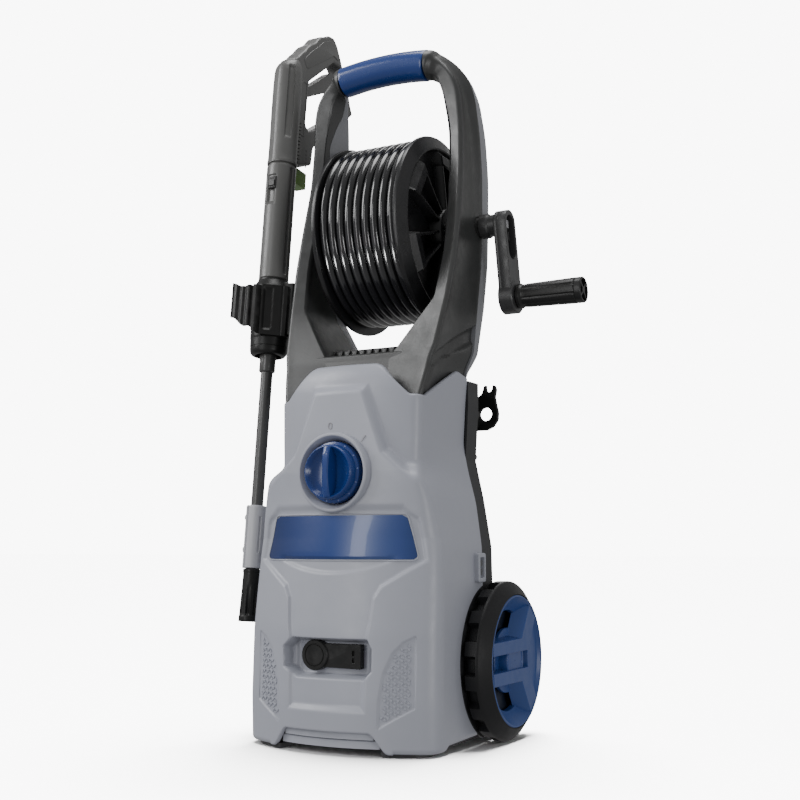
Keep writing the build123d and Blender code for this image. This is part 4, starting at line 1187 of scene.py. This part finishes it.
def gun_at(u, v, w):
    """Gun plane to the machine's frame: u sideways, v back from the barrel's axis, w up along it."""
    c, s = math.cos(LANCE_LEAN), math.sin(LANCE_LEAN)
    return (LANCE_X + u, LANCE_Y + v * c + w * s, LANCE_Z - v * s + w * c)


def gun_side(side):
    """Places a plate in the gun's plane, given by (v, w), on that side of the gun."""
    return lambda a, b, c: gun_at(side * c, a, b)


def barrel_skin(stations, relief=None, steps=120, shift=None):
    """Rings round the lance's axis. relief(turn, w) is cut off the radius; turn is degrees from the front."""
    rings = []
    for w, radius in stations:
        ring = []
        du, dv, tip = shift(w) if shift else (0, 0, 0)
        for i in range(steps):
            turn = 360 * i / steps
            r = radius - (relief(turn, w) if relief else 0)
            lean = math.radians(turn)
            ring.append(gun_at(du + r * math.sin(lean), dv - r * math.cos(lean), w + tip * math.cos(lean)))
        rings.append(ring)
    return rings


def ramp(value, low, high, soft_edge):
    """1 between low and high, falling to 0 over soft_edge outside."""
    return max(0.0, min(1.0, (value - low) / soft_edge + 1, (high - value) / soft_edge + 1))


def fine(rows, step):
    """Stations every step along a coarse list of (w, radius)."""
    made = []
    for a, b in zip(rows, rows[1:]):
        made += steps_between(a, b, max(1, round((b[0] - a[0]) / step)))
    return made + [rows[-1]]


def upper_relief(turn, w):
    channel = ramp(turn, 38, 62, 3.0) * ramp(w, 290, 396, 4.0) * 3.0
    return channel * limited((w - 262) / 60) + ramp(turn, 330, 342, 10) * 0.7


def lower_relief(turn, w):
    tilt = (turn + 180) % 360 - 180
    inset = ramp(tilt, -26, 14, 2.5) * ramp(w, 189, 230, 1.2) * 1.5
    inner = ramp(tilt, -21, 7, 2.0) * ramp(w, 192, 226, 1.0) * 2.2
    groove = ramp(turn, 72, 84, 2.5) * ramp(w, 90, 242, 2.0) * 3.0
    second = ramp(turn, 96, 101, 2.0) * ramp(w, 90, 242, 2.0) * 1.2
    return inset + inner + groove + second


def dome_shift(w):
    t = limited((w - 392) / 27)
    return (2.5 * t * t, 3.5 * t * t, -3.6 * t)


def upper_barrel():
    rows = [(250.6, 18.0), (250.6, 20.6), (252.2, 20.9), (254.4, 20.9), (255.4, 20.6), (262, 20.2),
            (292, 20.2), (330, 20.7), (372, 20.7), (390, 20.2), (398, 19.0), (404, 17.0), (409.5, 14.0),
            (413.5, 10.4), (416.4, 6.0), (417.4, 2.0)]
    return rings_mesh(barrel_skin(fine(rows, 2.0), upper_relief, 150, dome_shift))


def lower_barrel():
    rows = [(82.2, 15.0), (82.2, 19.6), (83.2, 20.4), (246.0, 20.5), (247.4, 20.0), (247.8, 18.6),
            (250.4, 18.4)]
    tube = rings_mesh(barrel_skin(fine(rows, 1.6), lower_relief, 180))
    collar = rings_mesh(barrel_skin([(48, 8.2), (48, 14.4), (49, 15.4), (82.4, 15.4)], steps=64))
    piece("barrel_lower", *merged([tube, collar]), "gun", "gun_dark", GUN_GREY, ["gun_barrel"], crease=28)


GRIP_OUTLINE = [(-12, 252), (-12, 396), (-6, 411), (5, 420), (25, 445), (47, 466), (60, 480), (80, 492),
                (95, 495), (106, 487), (121, 466), (145, 423), (161, 399), (130, 367), (84, 330), (58, 300),
                (56, 273), (20, 258), (14, 252)]
GRIP_WINDOW = [(34, 327), (43, 321), (52, 326), (125, 383), (138, 410), (118, 458), (99, 456), (36, 395)]


def grip_wave(v, w):
    """Presses three finger grooves into the grip's back edge."""
    ax, ay, bx, by = 5, 420, 92, 496
    length = math.hypot(bx - ax, by - ay)
    along = ((v - ax) * (bx - ax) + (w - ay) * (by - ay)) / length
    off = ((v - ax) * (by - ay) - (w - ay) * (bx - ax)) / length
    if not 8 < along < length - 6 or off > 14:
        return v, w
    wave = 1.7 * (0.5 - 0.5 * math.cos(TAU * (along - 8) / ((length - 14) / 3)))
    press = wave * max(0.0, 1 - max(0.0, off + 4) / 14)
    return v + 0.6 * press * (by - ay) / length, w - 0.9 * press * (bx - ax) / length


def make_gun_shells():
    base = rounded(GRIP_OUTLINE, [2, 3, 6, 6, 8, 12, 10, 10, 8, 8, 10, 10, 4, 12, 14, 12, 6, 2, 2], 6)
    outline = []
    for a, b in pairs(base):
        spots = steps_between(a, b, max(1, int(math.dist(a, b) / 3.0)))
        outline += [grip_wave(v, w) for v, w in spots]
    window = rounded(GRIP_WINDOW, [6, 3, 6, 10, 8, 7, 7, 8], 6)
    points, faces = plate(outline, [window], facing_up, -12.8, 12.8, 3.6, 4)
    for side, word in SIDE_WORDS.items():
        half = [gun_at(side * max(0.08, side * c), a, b) for a, b, c in points]
        parts = [(half, faces)] + trim_parts(side)
        if side > 0:
            parts.append(upper_barrel())
        piece("gun_half_" + word, *merged(parts), "gun", "gun_dark", GUN_GREY, ["gun_shell_" + word],
              crease=28)


def trim_parts(side):
    """Raised panels and teeth on one face of the gun."""
    at = gun_side(side)
    panel = rounded([(27, 411), (96, 466), (112, 464), (104, 480), (96, 486), (82, 483.5), (66, 474),
                     (52, 459), (31, 438), (17, 421)], 3, 3)
    middle = [sum(values) / len(panel) for values in zip(*panel)]
    face = [(v + (middle[0] - v) * 0.025, w + (middle[1] - w) * 0.025) for v, w in panel]
    layers = ((panel, 12.4), (panel, 13.1), (face, 13.5))
    rings = [[at(v, w, height) for v, w in loop] for loop, height in layers]
    frame_outer = rounded([(17, 306), (31, 306), (31, 390), (20, 390), (17, 384)], 1.5, 3)
    frame_inner = rounded([(19, 308.5), (29, 308.5), (29, 387.5), (21.2, 387.5), (19, 382)], 1, 3)
    corner = rounded([(128, 388), (140, 411), (127, 438), (136, 440), (152, 405), (130, 378)], 1.5, 3)
    parts = [rings_mesh(rings), plate(frame_outer, [frame_inner], at, 12.4, 13.3, 0.2, 1),
             slab(corner, at, 12.4, 13.3)]
    for i in range(13):
        w = 256 + 5.4 * i
        tooth = [(13.5, w), (19.5, w), (19.5, w + 2.6), (16.5, w + 3.6), (13.5, w + 2.6)]
        parts.append(slab(tooth, at, 12.2, 15.2))
    parts += [slab(circle(40, 264 + 6.2 * i, 1.1, 10), at, 12.4, 13.2) for i in range(5)]
    return parts


def make_selector():
    """Ribbed slider in its slot on the lower barrel's front."""
    def bar(*rows):
        """Raised bar through rectangles of (v, low w, high w, half width)."""
        return rings_mesh([[gun_at(-half, v, low), gun_at(half, v, low), gun_at(half, v, high),
                            gun_at(-half, v, high)] for v, low, high, half in rows])

    parts = [bar((-16.5, 210.4, 227.6, 6.0), (-20.6, 210.4, 227.6, 6.0), (-21.4, 211.4, 226.6, 5.2)),
             bar((-21.0, 213, 222.5, 5.0), (-23.0, 214, 221.4, 4.4))]
    parts += [bar((-21.0, w, w + 0.8, 4.8), (-21.9, w + 0.1, w + 0.7, 4.6)) for w in (212.0, 223.6, 225.2)]
    piece("selector_slider", *merged(parts), "selector", "selector_black", SELECTOR, ["pressure_selector"],
          crease=30)


def make_lance():
    tube = [(-228, 8.0), (-226, 8.0), (-27, 8.0), (247, 8.0)]
    flare = [(-48, 8.05), (-46.8, 10.2), (-45.4, 10.9), (-33, 10.6), (-28, 11.2), (-24, 11.4)]
    parts = [rings_mesh(barrel_skin(rows, steps=48)) for rows in (tube, flare)]
    piece("lance_pipe", *merged(parts), "gun", "lance_dark", LANCE_DARK, ["lance_tube"], crease=30)


def nozzle_relief(turn, w):
    slot = ramp(turn, 56, 68, 2.0) * ramp(w, -288, -244, 1.6) * 1.9
    rib = ramp(turn, 294, 330, 3.0) * -1.3
    edge = ramp(turn, 334, 337, 2.0) * 0.5
    short = ramp(turn, 74, 98, 3.0) * ramp(w, -303, -292, 3.0) * 0.8
    bump = -1.3 * (ramp(turn, 296, 306, 3.0) * (ramp(w, -246, -242, 1.5) + ramp(w, -288, -284, 1.5)))
    opposite = ramp(turn, 204, 216, 2.0) * ramp(w, -288, -244, 1.6) * 1.9
    return slot + rib + edge + short + bump + opposite


def tip_relief(turn, w):
    place = (turn / 45) % 1
    flute = max(0.0, 1 - ((place - 0.5) / 0.30) ** 2)
    return 3.0 * limited((-328 - w) / 34) * flute * ramp(w, -369.0, -326, 1.2)


def make_nozzle():
    body = [(-309.8, 9.0), (-309.8, 11.4), (-309.0, 12.2), (-229.6, 12.3), (-228.2, 11.6), (-228.0, 8.2)]
    sleeve = rings_mesh(barrel_skin(fine(body, 1.6), nozzle_relief, 150))
    piece("nozzle_sleeve", *sleeve, "gun", "nozzle_grey", NOZZLE, ["nozzle_body"], crease=28)
    tip = [(-362, 4.0), (-372, 5.2), (-378, 10.5), (-378, 12.6), (-377.2, 13.3), (-371.4, 13.4),
           (-370.4, 12.9), (-368, 12.9), (-340, 12.1), (-318, 11.6), (-315.6, 11.6), (-315.0, 12.1),
           (-311.6, 12.1), (-310.8, 11.4), (-310.4, 8.4), (-330, 8.2)]
    rows = []
    for a, b in zip(tip, tip[1:]):
        rows += steps_between(a, b, max(1, int(abs(b[0] - a[0]) / 1.5)))
    skirt = rings_mesh(barrel_skin(rows + tip[-1:], tip_relief, 160))
    piece("nozzle_skirt", *skirt, "nozzle", "nozzle_black", BLACK, ["nozzle_tip"], crease=28)


# ---- holder on the left leg ----
def wall(path, thick, low, high, wave=0.0):
    """Upright wall along a plan path of (u, v). low and high give its edges' w along the way, 0 to 1."""
    lengths = running_lengths(path)

    def at(run):
        return [float(np.interp(run, lengths, values)) for values in zip(*path)]

    rings = []
    count = 40
    for i in range(count + 1):
        t = i / count
        run = t * lengths[-1]
        (u, v), before, after = at(run), at(max(0.0, run - 2)), at(min(lengths[-1], run + 2))
        du, dv = after[0] - before[0], after[1] - before[1]
        size = math.hypot(du, dv)
        nu, nv = -dv / size, du / size
        face = thick / 2 + wave * math.sin(TAU * 4 * t)
        corners = [(face, low(t)), (-thick / 2, low(t)), (-thick / 2, high(t)), (face, high(t))]
        rings.append([gun_at(u + nu * out, v + nv * out, w) for out, w in corners])
    return rings_mesh(rings)


def holder_relief(turn, w):
    """Flat front plate with a shallow dark pocket and two upright grooves, on the holder's upper part."""
    if abs(turn - 40) >= 31:
        return 0.0
    lean = math.radians(turn - 40)
    reach = math.tan(lean) * 29.5
    pocket = ramp(reach, -13.0, -3.5, 2.5) * ramp(w, 8, 60, 4) * 2.6
    grooves = ramp(reach, 10.6, 11.6, 0.7) * 1.6
    return -(29.5 / math.cos(lean) - pocket - grooves - 26.0) * ramp(w, -2, 68, 0.8)


def make_holder():
    rows = [(-25.2, 17.7), (-25.2, 20.0), (-24.2, 22.6), (-22, 24.2), (-19, 24.9), (-15.6, 25.2),
            (-15.2, 24.4), (-14.0, 24.4), (-13.6, 25.3), (-3, 25.6), (-2, 26.0), (66, 26.4), (70, 26.4),
            (77.5, 22.0), (79, 21.0), (81.5, 20.6), (81.5, 17.7)]
    jaw = [(-10, -23), (-17, -29.5), (-25, -29), (-34, -30.5), (-43, -33)]
    step = [(-1.5, -26), (-5.5, -31), (-9.5, -31.5)]
    edge = [(25.0, -15), (29.6, -8), (30.2, 2)]
    lug = rounded([(18, -9), (36.6, -5), (36.6, 16), (18, 20)], 2, 3)
    parts = [rings_mesh(barrel_skin(fine(rows, 1.5), holder_relief, 220), loop=True),
             wall(jaw, 3.4, lambda t: 6 + 18 * t + 2.2 * math.sin(9 * t),
                  lambda t: 67 + 5 * t + 1.4 * math.sin(8 * t), 0.9),
             wall(step, 2.6, lambda t: 1 + 4 * t, lambda t: 68 + t),
             wall(edge, 3.0, lambda t: -1.5, lambda t: 68.5), slab(lug, gun_at, 2, 74)]
    piece("holder", *merged(parts), "chassis", "black_plastic", BLACK, ["lance_holder"], crease=30)


for wheel_side in SIDE_WORDS:
    make_tyre(wheel_side)
    make_rim(wheel_side)
lower_barrel()
make_gun_shells()
make_selector()
make_lance()
make_nozzle()
make_holder()


def make_hook():
    """Plate hook with a round hole and an open clip on two horns."""
    outline = [(74, 396), (100, 396), (110, 400.5), (116.5, 410), (117, 420), (114.5, 430), (112.5, 441),
               (114.5, 451), (112.6, 456.5), (109.6, 457.5), (109.0, 453.5), (108.0, 450.0), (104.5, 447.4),
               (100.5, 449.5), (99.6, 453.5), (99.8, 457.5), (96.6, 456.6), (95.0, 451), (93.5, 446.5),
               (88, 442), (74, 441)]
    shape = rounded(outline, [1, 6, 8, 8, 6, 8, 4, 3, 1, 0.6, 1, 3, 4, 3, 1, 0.6, 1, 2, 4, 5, 1], 4)
    hole = circle(99, 418, 9.0, 40)
    parts = [plate(shape, [hole], facing_front, 123, 129.5, 1.0)]
    lip = rounded([(78, 400), (90, 400), (90, 437), (78, 437)], 2, 3)
    parts.append(slab(lip, facing_front, 112, 124))
    piece("cord_hook", *merged(parts), "chassis", "black_plastic", BLACK, ["cable_hook"], crease=30)


make_hook()


def make_nozzle_clip():
    """Small rounded frame on the right side, round a dark recess with a split pin."""
    outer = rounded([(14, 196), (36, 196), (36, 232), (14, 232)], 3.5, 4)
    inner = rounded([(19.4, 201.5), (32.6, 201.5), (32.6, 226.5), (19.4, 226.5)], 1.5, 3)
    made = plate(outer, [inner], facing_side, 123.5, 136.0, 1.2, 3)
    piece("nozzle_clip_frame", *made, "chassis", "body_grey", BODY, ["nozzle_clip"])
    parts = [slab([(17, 199), (35, 199), (35, 229), (17, 229)], facing_side, 122.5, 129.0)]
    for low, high in ((205, 212.6), (215.4, 223)):
        pin = rounded([(23, low), (29, low), (29, high), (23, high)], 1, 2)
        parts.append(slab(pin, facing_side, 128.5, 134.0))
    piece("nozzle_clip_recess", *merged(parts), "chassis", "body_black", RECESS_GREY)


make_nozzle_clip()


# ---- materials of the CAD parts that show as they are ----
def dress(material, *nodes):
    for node in nodes:
        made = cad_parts[node]
        made.data.materials.clear()
        made.data.materials.append(material)


dress(BODY_BLACK, "rear_housing", "base_pan")
dress(BLACK, "cord_gland", "pressure_switch", "switch_box", "cooling_fan", "capacitor", "water_inlet")
dress(REEL_BLACK, "reel_drum")
dress(STEEL, "handle_tube", "axle", "axle_washers", "reel_shaft", "crank_pin", "screws", "motor_bearings",
      "stator", "rotor", "pistons", "piston_springs")
dress(CAST, "motor_housing", "pump_head", "pump_body", "swash_plate")
dress(BRASS, "gun_valve", "hose_swivel")
dress(RUBBER, "motor_mounts", "reel_bushes")
dress(FILTER, "inlet_filter")
dress(GUN_GREY, "trigger")
dress(GREEN, "lance_latch")
for node_name, node_edge in {"trigger": 1.6, "lance_latch": 1.2, "rear_housing": 1.2, "water_inlet": 0.8,
                             "cord_gland": 0.8}.items():
    bevelled(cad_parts[node_name], node_edge, 2, 40)


# ---- floor and closing lines ----
def make_floor():
    reach = 30.0
    mesh = bpy.data.meshes.new("floor")
    mesh.from_pydata([(-reach, -reach, 0), (reach, -reach, 0), (reach, reach, 0), (-reach, reach, 0)], [],
                     [(0, 1, 2, 3)])
    mesh.materials.append(shader("floor_white", (0.55, 0.55, 0.55), 0.7, bump=0.0, blotch=0.0, wear=0.0))
    floor = bpy.data.objects.new("floor", mesh)
    bpy.context.collection.objects.link(floor)
    floor.visible_diffuse = False
    floor.visible_glossy = False
    wash = bpy.data.objects.new("floor_wash", bpy.data.lights.new("floor_wash", "SUN"))
    wash.data.energy = 51
    wash.data.angle = math.radians(36)
    wash.rotation_euler = (math.radians(-15), math.radians(-5), 0)
    bpy.context.collection.objects.link(wash)
    light_only(wash, "only_floor", floor)


def hose_glint():
    """Low strip that only the hose sees, for the bright lines under the coil's belly."""
    glint = make_light("hose_low", (-0.44, -0.64, 0.13), (0, -0.04, 0.60), (0.34, 0.13), 8)
    light_only(glint, "only_hose", hose)
    glint.visible_camera = False


make_floor()
hose_glint()
